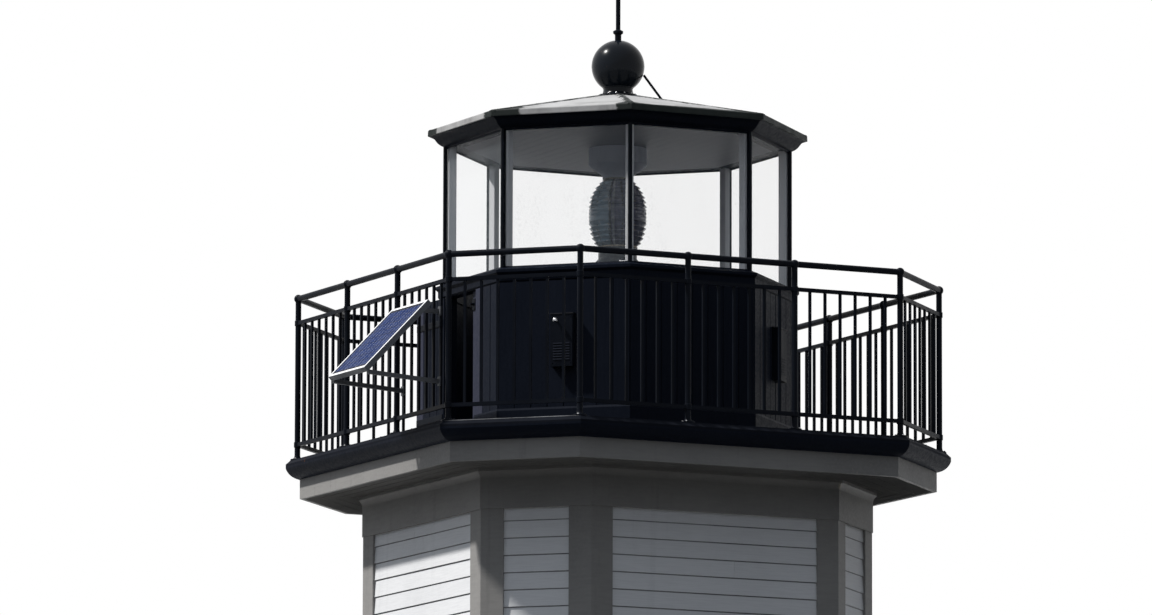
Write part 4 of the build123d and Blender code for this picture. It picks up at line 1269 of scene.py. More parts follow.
@dataclass
class GalleryDeck(Assembly):
    """Seams of the sheet metal on the gallery deck, drip edge and soffit beads."""

    seam_pitch: float = 0.46
    seam_height: float = 0.005
    flashing: float = 0.020
    edge: float = 0.060
    beads: Triple = (0.095, 0.185, 0.275)
    fan: float = 0.4
    hip_seam: float = 1.4

    def seams(self) -> list[Spot]:
        """Places of the radial seams between the parapet and the edge.

        Returns:
            Spots of the seams.
        """
        spots = []
        for side in Side:
            inner = LANTERN.distance(side) + WALL_FACE + self.flashing
            outer = GALLERY.distance(side) + self.edge
            count = max(1, round(GALLERY.length(side) / self.seam_pitch)) - 1
            for k in range(count):
                along = (k + 1 - (count + 1) / 2) * self.seam_pitch
                beyond = max(0.0, abs(along) - LANTERN.length(side, WALL_FACE) / 2)
                near = inner + beyond * self.fan
                spot = side.normal * ((near + outer) / 2) + side.along * along
                spots.append(Spot(Vector((spot.x, spot.y, DECK_LEVEL)), (0.0, 0.0, side.turn + math.pi / 2),
                                  (outer - near, 1.0, self.seam_height)))
        for k in range(8):
            near, far = LANTERN.corner_at(k, WALL_FACE + self.flashing), GALLERY.corner_at(k, self.edge - 0.005)
            run, middle = far - near, (near + far) / 2
            spots.append(Spot(Vector((middle.x, middle.y, DECK_LEVEL)), (0.0, 0.0, math.atan2(run.y, run.x)),
                              (run.length, 1.0, self.seam_height * self.hip_seam)))
        return spots

    def build(self) -> None:
        """Lay the seams and the flashing, the edge strip with a pale line on the front left edge that is part worn
        paint and part painted highlight, and beads under the soffit.
        """
        seam = self.bar([(-0.006, 0.0), (-0.0045, 1.0), (0.0045, 1.0), (0.006, 0.0)])
        flashing = self.run_round(LANTERN, WALL_FACE, DECK_LEVEL, [
            (0.002, 0.0), (0.045, 0.0), (0.045, 0.003), (0.020, 0.022), (0.002, 0.022)])
        self.join("deck_seams", "deck_black", Slot.DECK_BLACK, self.lay(seam, "deck_black", self.seams()), flashing)
        strip = self.run_round(GALLERY, self.edge, DECK_LEVEL, [
            (-0.012, -0.002), (0.0015, -0.004), (0.0025, -0.001), (-0.002, 0.003), (-0.012, 0.003)])
        self.join("deck_edge_strip", "deck_black", Slot.DECK_BLACK, strip)
        # painted highlight with wear: a pale line only along the front left edge of the deck
        side = Side.FRONT_LEFT
        line = self.bar([(-0.0028, -0.001), (-0.0024, 0.0008), (0.0020, 0.0034), (0.0110, 0.0034), (0.0110, -0.001)],
                        GALLERY.length(side, self.edge) - 0.02)
        self.set_out("deck_edge_worn_line", "edge_wear_and_highlight", Slot.DECK_BLACK, line,
                     [GALLERY.spot(side, 0.0, self.edge, DECK_LEVEL)])
        bead = [(-0.0035, 0.001), (-0.002, -0.0025), (0.002, -0.0025), (0.0035, 0.001)]
        beads = [self.run_round(TOWER.grown(off, off * 1.05), 0.0, SOFFIT_LEVEL, bead) for off in self.beads]
        self.join("soffit_beads", "soffit", Slot.GREY_TRIM, *beads)


@dataclass
class GalleryRail(Assembly):
    """Turned rail posts with bolted feet and sleeves for the bars."""

    height: float = 1.067
    radius: float = 0.019
    ball: float = 0.029
    foot: float = 0.046
    bars: Point = (0.105, 0.906)
    main_bays: int = 3
    bolt_circle: float = 0.034
    bolts: int = 4
    plate: float = 0.012

    def spots(self) -> list[Spot]:
        """Post places round the rail.

        Returns:
            Spots of the posts.
        """
        found = []
        for side in Side:
            start, end = RAIL.corner_at(side.value - 1), RAIL.corner_at(side.value)
            bays = self.main_bays if side.is_main else 1
            for k in range(bays):
                place = start.lerp(end, k / bays)
                found.append(Spot(Vector((place.x, place.y, DECK_LEVEL)), (0.0, 0.0, side.turn)))
        return found

    def post(self, steps: int = 9) -> Mesh:
        """One turned post, its ball drawn in steps.

        Args:
            steps: number of points on the ball.

        Returns:
            The mesh.
        """
        r, b, h = self.radius, self.ball, self.height
        profile = [(0.0, 0.0), (self.foot, 0.0), (self.foot, 0.009), (self.foot - 0.004, 0.012), (r + 0.010, 0.013),
                   (r + 0.003, 0.022), (r, 0.032)]
        for level in self.bars:
            profile += [(r + out, level + up) for out, up in (
                (0.0, -0.019), (0.0045, -0.016), (0.0045, 0.016), (0.0, 0.019))]
        low = -math.acos(r / b)
        profile.append((r, h + b * math.sin(low) - 0.006))
        angles = [low + (math.pi / 2 - low) * k / (steps - 1) for k in range(steps - 1)]
        profile += [(b * math.cos(a), h + b * math.sin(a)) for a in angles]
        return self.turned(profile + [(0.0, h + b)], 20)

    def build(self) -> None:
        """Set the posts and their bolts."""
        spots = self.spots()
        self.set_out("turned_rail_posts", "black_iron", Slot.BLACK_IRON, self.post(), spots, ["rail_posts"], Seed=8)
        bolts = []
        for spot in spots:
            for k in range(self.bolts):
                a = math.radians(45.0 + 90.0 * k) + spot.spin[2]
                place = Vector((self.bolt_circle * math.cos(a), self.bolt_circle * math.sin(a), self.plate))
                bolts.append(Spot(spot.place + place, (0.0, 0.0, a)))
        head = self.turned([(0.0, 0.0), (0.0065, 0.0), (0.0065, 0.004), (0.0052, 0.0055), (0.0, 0.0055)], 6, 20.0)
        self.set_out("rail_foot_bolts", "foot_bolts", Slot.GREY_METAL, head, bolts)


@dataclass
class Parapet(Assembly):
    """Black upright boards with a skirting on the wall below the glass, and the open door leaf."""

    board_width: float = 0.1107
    board_thickness: float = 0.011
    skirting: float = 0.200
    doorway: Point = (-0.310, 0.110)
    leaf_boards: int = 4
    play: float = 0.0014
    overlap: float = 0.012
    strap_shares: Point = (0.17, 0.83)
    strap_inset: float = 0.03
    fastening_inset: float = 0.020
    fastening_drop: float = 0.085

    def board(self, width: float, thickness: float, chamfer: float = 0.0045) -> Mesh:
        """Upright board of unit height with chamfered edges.

        Args:
            width: width with the joint.
            thickness: thickness of the board.
            chamfer: width of the chamfers.

        Returns:
            The mesh.
        """
        half = width / 2 - 0.0008
        return self.upright([(-half, 0.0), (-half, -thickness + chamfer), (-half + chamfer, -thickness),
                             (half - chamfer, -thickness), (half, -thickness + chamfer), (half, 0.0)])

    def stretches(self, side: Side) -> list[Point]:
        """Parts of a side that are boarded, as start and end along it.

        Args:
            side: side of the lantern.

        Returns:
            The parts.
        """
        half = LANTERN.length(side, WALL_FACE) / 2
        if side is Side.LEFT:
            return [(-half, self.doorway[0]), (self.doorway[1], half)]
        return [(-half, half)]

    def build(self) -> None:
        """Board the eight sides and the leaf."""
        low = DECK_LEVEL + self.skirting
        boards, beside, skirts = [], [], []
        for side in Side:
            for start, end in self.stretches(side):
                count = max(1, round((end - start) / self.board_width))
                wide = (end - start) / count
                worn = int(side is Side.LEFT and start > 0.0)
                for finish, meshes, skip, number in (("worn_paint", beside, 0, worn),
                                                     ("black_paint", boards, worn, count - worn)):
                    if number:
                        first = (start + wide * (skip + 0.5), -LANTERN.main - WALL_FACE + 0.001, low)
                        meshes.append(self.row(
                            self.board(wide, self.board_thickness), finish, number, first, (wide, 0.0, 0.0),
                            (1.0, 1.0, PARAPET_TOP - low), Turn=side.turn, Play=self.play, Seed=side.value + 40))
                skirts.append(LANTERN.spot(side, (start + end) / 2, WALL_FACE, DECK_LEVEL,
                                           (end - start + self.overlap, 1.0, 1.0)))
        self.join("parapet_boards", "black_paint", Slot.BLACK_PAINT, *boards)
        self.join("doorway_worn_board", "worn_paint", Slot.WORN_PAINT, *beside)
        skirt = self.bar([(0.0, 0.0), (-0.018, 0.0), (-0.018, self.skirting - 0.014), (-0.012, self.skirting),
                          (0.0, self.skirting)])
        self.set_out("parapet_skirting", "black_paint", Slot.BLACK_PAINT, skirt, skirts)
        self.leaf()
        self.ironwork()

    def leaf(self) -> None:
        """Boards of the open leaf, the first of them worn."""
        low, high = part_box("gallery_door")
        wide = (high.y - low.y) / self.leaf_boards
        board = self.board(wide, high.x - low.x)
        for name, finish, slot, first, count, replaces in (
                ("gallery_door_boards", "black_paint", Slot.BLACK_PAINT, 1, self.leaf_boards - 1, ["gallery_door"]),
                ("gallery_door_worn_board", "worn_paint", Slot.WORN_PAINT, 0, 1, [])):
            row = self.row(board, finish, count, (-high.y + wide * (first + 0.5), high.x, low.z), (wide, 0.0, 0.0),
                           (1.0, 1.0, high.z - low.z), Turn=Side.LEFT.turn, Seed=77 + first)
            self.join(name, finish, slot, row, replaces=replaces)

    def ironwork(self) -> None:
        """Straps of the leaf, and the hasp and staple on the stop board."""
        low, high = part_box("gallery_door")
        spots = [Spot(Vector((low.x - 0.002, (low.y + high.y) / 2, low.z + share * (high.z - low.z))),
                      (0.0, 0.0, Side.LEFT.turn), (high.y - low.y - self.strap_inset, 1.0, 1.0))
                 for share in self.strap_shares]
        strap = self.bar([(0.002, -0.020), (-0.003, -0.020), (-0.004, -0.018), (-0.004, 0.018), (-0.003, 0.020),
                          (0.002, 0.020)])
        low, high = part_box("gallery_door_stop")
        along, level = high.y - self.fastening_inset, high.z - self.fastening_drop
        hasp = self.moved(self.block((0.010, 0.040, 0.075), 0.003), (low.x - 0.003, along, level))
        staple = self.turned([(0.0, 0.0), (0.010, 0.0), (0.010, 0.006), (0.006, 0.014), (0.006, 0.026),
                              (0.0, 0.028)], 14)
        self.moved(staple, (low.x - 0.006, along, level), Matrix.Rotation(-QUARTER_TURN, 4, "Y"))
        self.join("gallery_door_ironwork", "black_iron", Slot.BLACK_IRON, self.lay(strap, "black_iron", spots), hasp,
                  staple)


@dataclass
class Ventilators(Assembly):
    """Lids, louvres and screws of the four ventilator boxes, and the turned knob."""

    width: float = 0.148
    depth: float = 0.062
    top_drop: float = 0.264
    knob: float = 0.0155
    knob_shift: float = 0.009
    lid_overhang: float = 0.008
    slat_inset: float = 0.036
    screws: Point = (-0.062, 0.062)
    screw_drops: Point = (0.028, 0.325)
    first_slat: float = 0.20
    slat_pitch: float = 0.017
    slats: int = 7

    def turned_knob(self) -> None:
        """Bright knob on the face of the front left box."""
        low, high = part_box("vent_knob")
        side, middle, r = Side.FRONT_LEFT, (low + high) / 2, self.knob
        back = LANTERN.distance(side) + WALL_FACE + self.depth - middle.xy.dot(side.normal.xy)
        angles = [math.radians(-60.0 + 15.0 * k) for k in range(10)]
        profile = [(0.0, back), (0.0085, back), (0.0085, back + 0.002), (0.0050, back + 0.004), (0.0050, -r * 0.86)]
        profile += [(r * math.cos(a), r * math.sin(a)) for a in angles] + [(0.0, r)]
        turn = side.normal.to_track_quat("Z", "Y").to_matrix().to_4x4()
        knob = self.moved(self.turned(profile, 28), middle + side.along * self.knob_shift, turn)
        self.join("ventilator_knob", "bright_knob", Slot.GREY_METAL, knob, replaces=["vent_knob"])

    def build(self) -> None:
        """Dress the boxes."""
        self.turned_knob()
        top = RAIL_LEVEL - self.top_drop
        face = WALL_FACE + self.depth
        lid = self.bar([(0.0, 0.0015), (0.0, -0.003), (-self.depth - 0.004, -0.011), (-self.depth - 0.004, -0.0055)],
                       self.width + self.lid_overhang)
        screw = self.turned([(0.0, 0.0), (0.0045, 0.0), (0.0038, 0.002), (0.0, 0.0028)], 10)
        slat = self.bar([(0.0, -0.004), (-0.003, -0.0055), (-0.0036, -0.0045), (-0.0005, 0.003)],
                        self.width - self.slat_inset)
        lids, screws, slats = [], [], []
        for side in (side for side in Side if not side.is_main):
            lids.append(LANTERN.spot(side, 0.0, WALL_FACE, top))
            screws += [LANTERN.spot(side, along, face, top - drop, tip=QUARTER_TURN)
                       for along in self.screws for drop in self.screw_drops]
            slats += [LANTERN.spot(side, 0.0, face, top - self.first_slat - self.slat_pitch * k)
                      for k in range(self.slats)]
        self.set_out("ventilator_lids", "rusty_lids", Slot.BLACK_IRON, lid, lids)
        self.join("ventilator_screws_and_slats", "black_paint", Slot.BLACK_IRON,
                  self.lay(screw, "black_paint", screws), self.lay(slat, "black_paint", slats))


@dataclass
class LanternGlazing(Assembly):
    """Screws on the outer bars, and putty beads at the panes."""

    bar_depth: float = 0.020
    studs: int = 9
    end_gap: float = 0.07
    inset: float = 0.0085
    sunk: float = 0.0005
    stud_size: Triple = (0.8, 0.8, 0.8)

    def build(self) -> None:
        """Set the screws and beads."""
        stud = self.turned([(0.0, 0.0), (0.0055, 0.0), (0.005, 0.0022), (0.003, 0.0038), (0.0, 0.0042)], 10)
        pitch = (HEAD_LEVEL - SILL_LEVEL - 2 * self.end_gap) / (self.studs - 1)
        spots = [LANTERN.spot(side, way * (LANTERN.length(side, self.bar_depth) / 2 - self.inset),
                              self.bar_depth - self.sunk, SILL_LEVEL + self.end_gap + pitch * k, self.stud_size,
                              QUARTER_TURN)
                 for side in Side for way in (-1, 1) for k in range(self.studs)]
        self.set_out("glazing_bar_screws", "black_iron", Slot.BLACK_IRON, stud, spots)
        bead = [(0.001, 0.0), (0.009, 0.0), (0.001, 0.012)]
        low = self.run_round(LANTERN, 0.0, SILL_LEVEL, bead)
        high = self.run_round(LANTERN, 0.0, HEAD_LEVEL, [(off, -up) for off, up in reversed(bead)])
        self.join("pane_beads", "black_paint", Slot.BLACK_PAINT, low, high)


@dataclass
class GlazingPosts(Assembly):
    """White posts in the angles of the panes, their backs cut to fit the glass."""

    width: float = 0.048
    depth: float = 0.058
    glass: float = 0.006
    ease: float = 0.003

    def build(self) -> None:
        """Stand the eight posts between the sill and the head."""
        half = self.width / 2
        shoulder = half * math.tan(HALF_SIDE)
        post = self.upright([(0.0, 0.0), (-shoulder, half), (self.ease - self.depth, half),
                             (-self.depth, half - self.ease), (-self.depth, self.ease - half),
                             (self.ease - self.depth, -half), (-shoulder, -half)])
        spots = []
        for k in range(8):
            foot = LANTERN.corner_at(k, -self.glass)
            spots.append(Spot(Vector((foot.x, foot.y, SILL_LEVEL)), (0.0, 0.0, math.atan2(foot.y, foot.x)),
                              (1.0, 1.0, HEAD_LEVEL - SILL_LEVEL)))
        self.set_out("lantern_glazing_posts", "white_wood", Slot.WHITE_WOOD, post, spots, ["glazing_posts"], Seed=9)


@dataclass
class LanternRoof(Assembly):
    """Hip strips and rivets on the roof, and the drip edge at the eaves."""

    eave_level: float = 10.050
    apex_level: float = 10.317
    seat: float = 0.136
    turn_down: float = 0.036
    strip_half: float = 0.024
    strip_rise: float = 0.006
    strip_tuck: float = 0.012
    eave_gap: float = 0.004
    rivets: int = 9
    rivet_share: float = 0.62
    first_rivet: float = 0.06
    bare_ends: float = 0.10

    def build(self) -> None:
        """Lay a strip over each hip, with rivets, and the drip edge."""
        slope = (self.apex_level - self.eave_level) / EAVE
        eaves = Plan(EAVE, EAVE)
        half, rise = self.strip_half, self.strip_rise
        near = self.seat / math.cos(HALF_SIDE) - self.strip_tuck
        drop = math.sin(HALF_SIDE) * slope
        section = [(-half, -0.004), (-half, rise * 0.6), (0.0, rise), (half, rise * 0.6), (half, -0.004)]
        strips, rivets = [], []
        for k in range(8):
            far = eaves.corner_at(k, -self.eave_gap)
            unit = far.normalized()
            across = Vector((-unit.y, unit.x, 0.0))

            def at(run: float, off: float, up: float) -> Vector:
                """Point over the hip."""
                crest = self.apex_level - slope * run * math.cos(HALF_SIDE)
                return unit * run + across * off + Vector((0.0, 0.0, crest + up))

            strips.append(self.loft([[at(run, off, up - abs(off) * drop) for off, up in section]
                                     for run in (far.length, near)]))
            step = (far.length - near - self.bare_ends) / (self.rivets - 1)
            rivets += [Spot(at(near + self.first_rivet + step * n, way * half * self.rivet_share, rise * 0.5))
                       for n in range(self.rivets) for way in (-1, 1)]
        stud = self.turned([(0.0, -0.002), (0.006, -0.002), (0.005, 0.002), (0.0, 0.0035)], 8)
        self.join("roof_hip_strips", "roof_metal", Slot.ROOF_METAL, *strips, self.lay(stud, "roof_metal", rivets))
        low = -self.turn_down
        drip = self.run_round(eaves, 0.0, self.eave_level, [
            (-0.012, low), (0.003, low), (0.0035, low + 0.004), (0.002, -0.003), (-0.001, 0.0025), (-0.012, 0.0065),
            (-0.030, 0.010), (-0.030, -0.002)])
        self.join("roof_drip_edge", "roof_metal", Slot.ROOF_METAL, drip)


@dataclass
class BallVentilator(Assembly):
    """Glossy ball on its flared neck, with seam bands and a ring of worn rivets."""

    radius: float = 0.173
    neck: float = 0.096
    flange: float = 0.130
    rim: float = 0.016
    seam: float = 0.0006
    seam_half: float = 0.022
    rivets: int = 14
    rivet_inset: float = 0.013
    rivet_level: float = 0.0185
    first_rivet: float = 0.12

    def profile(self, foot: float, head: float, steps: int = 40) -> list[Point]:
        """Profile of the flange, the flared neck and the ball, drawn in steps.

        Args:
            foot: level of the flange's foot.
            head: level of the ball's top.
            steps: number of points on the ball.

        Returns:
            Radius and height points.
        """
        centre = head - self.radius
        meet = math.asin(math.sqrt(1.0 - (self.neck / self.radius) ** 2))
        top = centre - self.radius * math.sin(meet)
        start = self.flange - self.rim
        points = [(0.0, foot), (self.flange, foot), (self.flange, foot + 0.014), (self.flange - 0.003, foot + 0.018),
                  (start, foot + 0.019)]
        for a in [k * math.pi / 16 for k in range(1, 8)]:
            points.append((start + (self.neck - start) * math.sin(a),
                           foot + 0.019 + (top - foot - 0.023) * (1.0 - math.cos(a))))
        points += [(self.neck, top - 0.004), (self.neck + 0.004, top - 0.002), (self.neck + 0.004, top + 0.003)]
        for a in [0.03 - meet + (math.pi / 2 + meet - 0.03) * k / steps for k in range(steps)]:
            lift = self.seam if abs(a) < self.seam_half else 0.0
            points.append(((self.radius + lift) * math.cos(a), centre + self.radius * math.sin(a)))
        return points + [(0.0, head)]

    def build(self) -> None:
        """Turn the ball and set the rivets."""
        low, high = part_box("ball_ventilator")
        ball = self.turned(self.profile(low.z, high.z), 72, 30.0)
        self.join("turned_ball_ventilator", "ball_paint", Slot.BLACK_IRON, ball, replaces=["ball_ventilator"])
        stud = self.turned([(0.0, -0.001), (0.0075, -0.001), (0.006, 0.004), (0.003, 0.006), (0.0, 0.0065)], 12)
        self.set_out("ball_flange_rivets", "bright_rivets", Slot.GREY_METAL, stud, (), layout=RINGS,
                     Count=self.rivets, Radius=self.flange - self.rivet_inset, Level=low.z + self.rivet_level,
                     First=self.first_rivet)


@dataclass
class Lens(Assembly):
    """Stepped prism lens with upright ribs, and the rings and bars that hold it."""

    radius: float = 0.190
    height: float = 0.442
    widest: float = 0.47
    belt: float = 0.096
    outline: tuple[Point, ...] = ((0.0, 0.135), (0.066, 0.157), (0.16, 0.175), (0.31, 0.189), (0.60, 0.190),
                                  (0.70, 0.184), (0.75, 0.177), (0.82, 0.162), (0.895, 0.143), (0.95, 0.120),
                                  (1.0, 0.094))
    prisms_above: int = 6
    prisms_below: int = 5
    belt_steps: int = 4
    tooth: float = 0.016
    hole: float = 0.045
    bar_width: float = 0.008
    ribs: int = 12
    first_rib: float = math.radians(-106.5)
    rib_half: float = 0.0035
    rib_depths: Point = (0.026, 0.0125)
    tip_shares: Point = (0.75, 0.25)
    frame_bars: int = 4

    def reach(self, level: float) -> float:
        """Outer radius at a level above the foot.

        Args:
            level: height above the foot.

        Returns:
            The radius.
        """
        share = level / self.height
        for (s0, r0), (s1, r1) in zip(self.outline, self.outline[1:]):
            if share <= s1:
                return r0 + (r1 - r0) * (share - s0) / (s1 - s0)
        return self.outline[-1][1]

    def prisms(self, start: float, tall: float, count: int, crest: float) -> list[Point]:
        """Profile of a stack of prisms, each with its crest at a share of its height.

        Args:
            start: level of the stack's foot.
            tall: height of the stack.
            count: number of prisms.
            crest: share of its height at which a prism is widest.

        Returns:
            Radius and height points.
        """
        points = []
        for k in range(count):
            low, high = start + tall * k / count, start + tall * (k + 1) / count
            tip = low + crest * (high - low)
            points += [(self.reach(low) - self.tooth, low + 0.001), (self.reach(tip), tip),
                       (self.reach(high) - self.tooth, high - 0.001)]
        return points

    def profile(self) -> list[Point]:
        """Profile from the foot up: prisms, belt with fine steps, prisms, and back down the inside.

        Returns:
            Radius and height points.
        """
        low = self.widest * self.height - self.belt / 2
        high = low + self.belt
        points = self.prisms(0.0, low, self.prisms_below, self.tip_shares[0])
        step = self.belt / self.belt_steps
        for k in range(self.belt_steps):
            bulge = math.cos((k + 0.5 - self.belt_steps / 2) / self.belt_steps * math.pi)
            points += [(self.radius - 0.005, low + step * k + 0.0005),
                       (self.radius - 0.002 + 0.002 * bulge, low + step * (k + 0.5))]
        points += self.prisms(high, self.height - high, self.prisms_above, self.tip_shares[1])
        return points + [(0.056, self.height), (0.140, 0.60 * self.height), (0.140, 0.3 * self.height), (0.085, 0.0)]

    def rib(self, steps: int = 18) -> Mesh:
        """One upright rib that follows the lens, facing -Y.

        Args:
            steps: number of stretches up the rib.

        Returns:
            The mesh.
        """
        rings = []
        for z in [self.height * k / steps for k in range(steps + 1)]:
            inner, outer = (self.reach(z) - depth for depth in self.rib_depths)
            rings.append([(x, -r, z) for x, r in ((-self.rib_half, inner), (-self.rib_half, outer),
                                                  (self.rib_half, outer), (self.rib_half, inner))])
        return self.loft(rings)

    def build(self) -> None:
        """Turn the glass, and set the ribs and the frame round it."""
        low, high = (corner.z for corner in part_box("lens"))
        glass = self.turned([(r, low + z) for r, z in self.profile()], 72, 25.0)
        self.join("prism_lens", "lens_glass", Slot.LENS_GLASS, glass, replaces=["lens"])
        ribs = [Spot(Vector((0.0, 0.0, low)), (0.0, 0.0, self.first_rib + 2.0 * math.pi * k / self.ribs + math.pi / 2))
                for k in range(self.ribs)]
        self.set_out("lens_ribs", "brass", Slot.BRASS, self.rib(), ribs)
        foot = self.turned([(self.hole, low - 0.010), (0.129, low - 0.010), (0.130, low - 0.009),
                            (0.130, low - 0.001), (0.129, low), (self.hole, low)], 48)
        rim = self.outline[-1][1] + 0.002
        head = self.turned([(self.hole, high), (rim, high), (rim, high + 0.004), (rim - 0.001, high + 0.005),
                            (self.hole, high + 0.005)], 48)
        bar = self.block((self.bar_width, self.bar_width, high - low + 0.008), 0.001, 1)
        bars = self.lay(bar, "brass", layout=RINGS, Count=self.frame_bars, Radius=self.hole + self.bar_width / 2,
                        Level=(low + high) / 2, First=math.pi / 4)
        self.join("lens_ring_frame", "brass", Slot.BRASS, foot, head, bars, replaces=["lens_rings"])


@dataclass
class VentFunnel(Assembly):
    """Funnel over the lens that leads up to the ball."""

    mouth: float = 0.086
    wide: float = 0.190
    flare: float = 0.085
    wall: float = 0.003

    def build(self) -> None:
        """Turn the funnel from sheet metal with a rolled mouth."""
        foot, top = (corner.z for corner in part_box("vent_funnel"))
        bend, inside = foot + self.flare, self.wide - self.wall
        funnel = self.turned([
            (self.mouth - self.wall, foot), (self.mouth + 0.002, foot), (self.mouth + 0.003, foot + 0.005),
            (self.mouth + 0.001, foot + 0.007), (self.wide, bend), (self.wide, top), (inside, top),
            (inside, bend + self.wall), (self.mouth - self.wall, foot + 0.009)], 64)
        self.join("sheet_funnel", "funnel_paint", Slot.GREY_METAL, funnel, replaces=["vent_funnel"])


@dataclass
class SolarPanel(Assembly):
    """Cells, bus bars and a lip on the face of the panel; the lip is the frame's pale finish as lit by the sun, while
    the frame's own sides carry painted shade.
    """

    tilt: float = math.radians(46.0)
    columns: int = 4
    rows: int = 9
    width: float = 0.496
    length: float = 0.596
    margin: float = 0.018
    cell_gap: float = 0.004
    lip_width: float = 0.0203
    lip_low: float = 0.001
    lip_high: float = 0.0046
    sheet: float = 0.0044
    cell: float = 0.0008
    cell_level: float = 0.0023
    bar_level: float = 0.0029
    bar_inset: float = 0.022

    def frame_matrix(self) -> Matrix:
        """Matrix from the panel's own plane (x along the rail, y up the slope) to its place.

        Returns:
            The matrix.
        """
        low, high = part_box("solar_cells")
        out = Vector((-math.sin(self.tilt), 0.0, math.cos(self.tilt)))
        along = Vector((0.0, -1.0, 0.0))
        turn = Matrix((along, out.cross(along), out)).transposed().to_4x4()
        return Matrix.Translation((low + high) / 2) @ turn

    def lip(self) -> list[Mesh]:
        """Lip on the top of the frame, in the frame's pale finish as it looks sunlit, in four mitred strips.

        Returns:
            The four strips.
        """
        inner, outer = [[(way_x * (self.width / 2 + out), way_y * (self.length / 2 + out))
                         for way_x, way_y in ((-1, -1), (1, -1), (1, 1), (-1, 1))]
                        for out in (0.0005, 0.0005 + self.lip_width)]
        return [self.upright([inner[k], inner[(k + 1) % 4], outer[(k + 1) % 4], outer[k]], self.lip_low, self.lip_high)
                for k in range(4)]

    def build(self) -> None:
        """Lay the cells over their back sheet, with bars across them and the lip round them."""
        wide = (self.width - 2 * self.margin) / self.columns
        tall = (self.length - 2 * self.margin) / self.rows
        # the back sheet's dark margin round the cells is painted shade for the gap inside the lip
        sheet = self.block((self.width, self.length, self.sheet), 0.0006, 1)
        cell = self.block((wide - self.cell_gap, tall - self.cell_gap, self.cell), 0.0003, 1)
        cells = [self.row(cell, "solar_cells", self.rows,
                          ((column - (self.columns - 1) / 2) * wide, -(self.rows - 1) / 2 * tall, self.cell_level),
                          (0.0, tall, 0.0), Seed=column + 3) for column in range(self.columns)]
        bar = self.bar([(-0.0009, -0.0002), (0.0009, -0.0002), (0.0009, 0.0002), (-0.0009, 0.0002)],
                       self.length - self.bar_inset)
        bars = self.row(bar, "bus_bars", 2 * self.columns, (-(self.columns - 0.5) / 2 * wide, 0.0, self.bar_level),
                        (wide / 2, 0.0, 0.0), tilt=(0.0, 0.0, math.pi / 2))
        place = self.frame_matrix()
        for name, finish, slot, meshes, replaces in (
                ("solar_back_sheet", "cell_backing", Slot.SOLAR_CELLS, [sheet], ["solar_cells"]),
                ("solar_cell_grid", "solar_cells", Slot.SOLAR_CELLS, cells, []),
                ("solar_bus_bars", "bus_bars", Slot.SOLAR_CELLS, [bars], []),
                ("solar_frame_lip", "panel_lip", Slot.ALUMINIUM_FRAME, self.lip(), [])):
            for mesh in meshes:
                mesh.transform(place)
            self.join(name, finish, slot, *meshes, replaces=replaces)


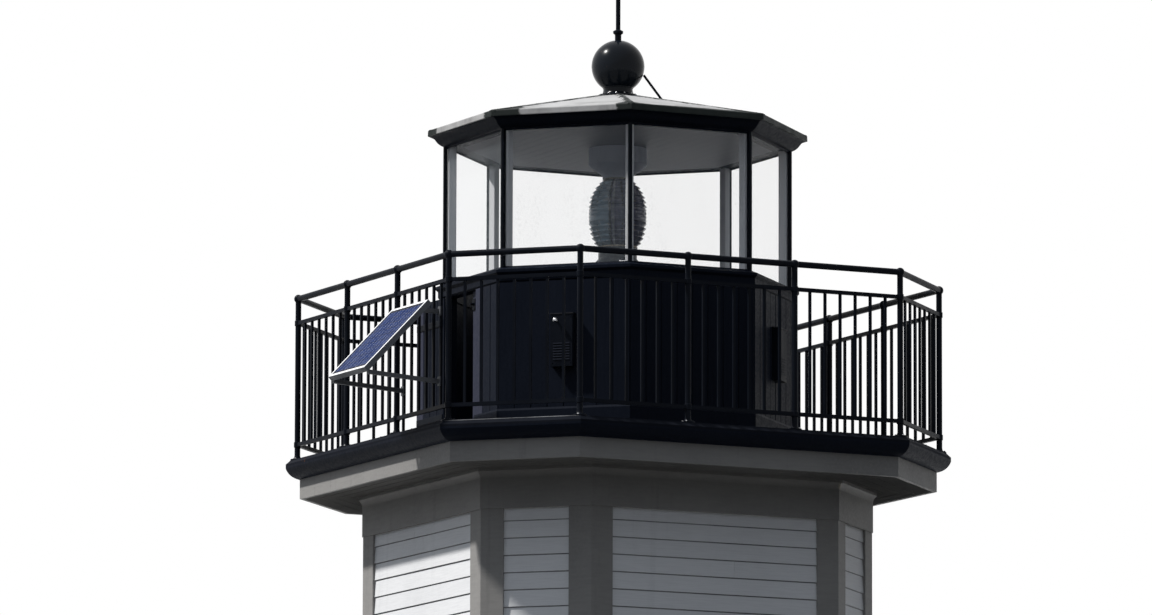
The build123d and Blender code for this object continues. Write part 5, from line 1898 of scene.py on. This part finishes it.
@dataclass
class Studio(Assembly):
    """Pale floor, white surroundings, one soft key light and the camera."""

    lens: float = 290.65
    sensor: float = 36.0
    clip_start: float = 0.5
    clip_end: float = 2000.0
    distance: float = 60.0
    azimuth: float = 0.4631
    camera_level: float = 0.478
    yaw: float = -0.0045
    pitch: float = 0.1395
    roll: float = 0.0031
    sky: float = 0.80
    ground: float = 0.06
    sky_tint: Triple = (0.85, 0.925, 1.03)
    near_share: float = 1.25
    far_share: float = 0.5
    key: float = 4.15
    key_spread: float = math.radians(2.5)
    key_tint: Triple = (1.0, 0.975, 0.94)
    key_azimuth: float = math.radians(156.0)
    key_height: float = math.radians(51.5)
    floor_radius: float = 40.0

    def camera(self) -> None:
        """Place the camera at the photograph's viewpoint."""
        data = bpy.data.cameras.new("view")
        data.lens, data.sensor_width = self.lens, self.sensor
        data.clip_start, data.clip_end = self.clip_start, self.clip_end
        camera = bpy.data.objects.new("view", data)
        bpy.context.scene.collection.objects.link(camera)
        level = Vector((math.sin(self.yaw), math.cos(self.yaw), 0.0))
        right0 = Vector((math.cos(self.yaw), -math.sin(self.yaw), 0.0))
        up_axis = Vector((0.0, 0.0, 1.0))
        forward = level * math.cos(self.pitch) + up_axis * math.sin(self.pitch)
        up0 = up_axis * math.cos(self.pitch) - level * math.sin(self.pitch)
        right = right0 * math.cos(self.roll) + up0 * math.sin(self.roll)
        up = up0 * math.cos(self.roll) - right0 * math.sin(self.roll)
        turn = Matrix((right, up, -forward)).transposed().to_4x4()
        place = Matrix.Translation((0.0, -self.distance, self.camera_level))
        camera.matrix_world = Matrix.Rotation(-self.azimuth, 4, "Z") @ place @ turn
        bpy.context.scene.camera = camera

    def background_rays(self, graph: Graph) -> Value:
        """One for rays that show the background: camera, glossy and transmission rays.

        Args:
            graph: tree that gets the nodes.

        Returns:
            One or zero.
        """
        rays = graph.node("ShaderNodeLightPath")
        camera, glossy, through = (Value(graph, rays.outputs["Is %s Ray" % kind])
                                   for kind in ("Camera", "Glossy", "Transmission"))
        return graph.maths("MAXIMUM", graph.maths("MAXIMUM", camera, glossy), through)

    def world(self) -> None:
        """White surroundings to the eye and in reflections; as light, brighter overhead than below."""
        world = bpy.data.worlds.new("studio")
        bpy.context.scene.world = world
        world.use_nodes = True
        graph = Graph(world.node_tree)
        graph.tree.nodes.clear()
        place = graph.add("ShaderNodeTexCoord", out="Generated")
        key_way = (math.cos(self.key_azimuth), math.sin(self.key_azimuth), 0.0)
        level = graph.add("ShaderNodeSeparateXYZ", {0: place}, "Z")
        toward = graph.add("ShaderNodeVectorMath", {0: place, 1: key_way}, "Value", operation="DOT_PRODUCT")
        strength = (level.span(0.0, 1.0, self.ground, self.sky, "LINEAR")
                    * toward.span(-0.9, 0.9, self.far_share, self.near_share, "LINEAR"))
        light = graph.add("ShaderNodeBackground", {"Color": self.sky_tint, "Strength": strength})
        white = graph.add("ShaderNodeBackground", {"Color": WHOLE})
        mix = graph.add("ShaderNodeMixShader", {0: self.background_rays(graph), 1: light, 2: white})
        graph.node("ShaderNodeOutputWorld", {"Surface": mix})

    def floor(self) -> None:
        """Large pale floor on which the building stands."""
        mesh = self.turned([(0.0, -0.02), (0.0, -0.001), (self.floor_radius, -0.001), (self.floor_radius, -0.02)], 96)
        floor = self.place(mesh, "studio_floor")
        r = Recipe("pale_floor")
        pale = r.blend(r.noise(0.8).span(0.3, 0.7), (0.765, 0.765, 0.760), (0.775, 0.775, 0.770))
        colour = r.blend(self.background_rays(r), (0.05, 0.05, 0.05), pale)
        mesh.materials.append(r.finish(Base_Color=colour, Roughness=0.9, Specular_IOR_Level=0.1))

    def key_light(self) -> None:
        """Soft key light from the back left, as high as the photograph's."""
        data = bpy.data.lights.new("key", "SUN")
        data.energy, data.angle, data.color = self.key, self.key_spread, self.key_tint
        lamp = bpy.data.objects.new("key", data)
        bpy.context.scene.collection.objects.link(lamp)
        flat = math.cos(self.key_height)
        toward = Vector((math.cos(self.key_azimuth) * flat, math.sin(self.key_azimuth) * flat,
                         math.sin(self.key_height)))
        lamp.rotation_euler = toward.to_track_quat("Z", "Y").to_euler()

    def build(self) -> None:
        """Set up the camera, the light and the floor."""
        self.camera()
        self.world()
        self.floor()
        self.key_light()


def main() -> None:
    """Dress the frame and build the pieces in order."""
    logging.basicConfig(level=logging.INFO, format="%(name)s %(message)s")
    bpy.context.scene.view_settings.view_transform = "Standard"
    Studio().build()
    FINISHES.dress_frame()
    for part in (Masonry(), ClapboardWalls(), WindowBars(), Entrance(), GalleryDeck(), GalleryRail(), Parapet(),
                 Ventilators(), LanternGlazing(), GlazingPosts(), LanternRoof(), BallVentilator(), Lens(),
                 VentFunnel(), SolarPanel()):
        LOG.info("building %s", type(part).__name__)
        part.build()
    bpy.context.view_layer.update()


if __name__ == "__main__":
    main()
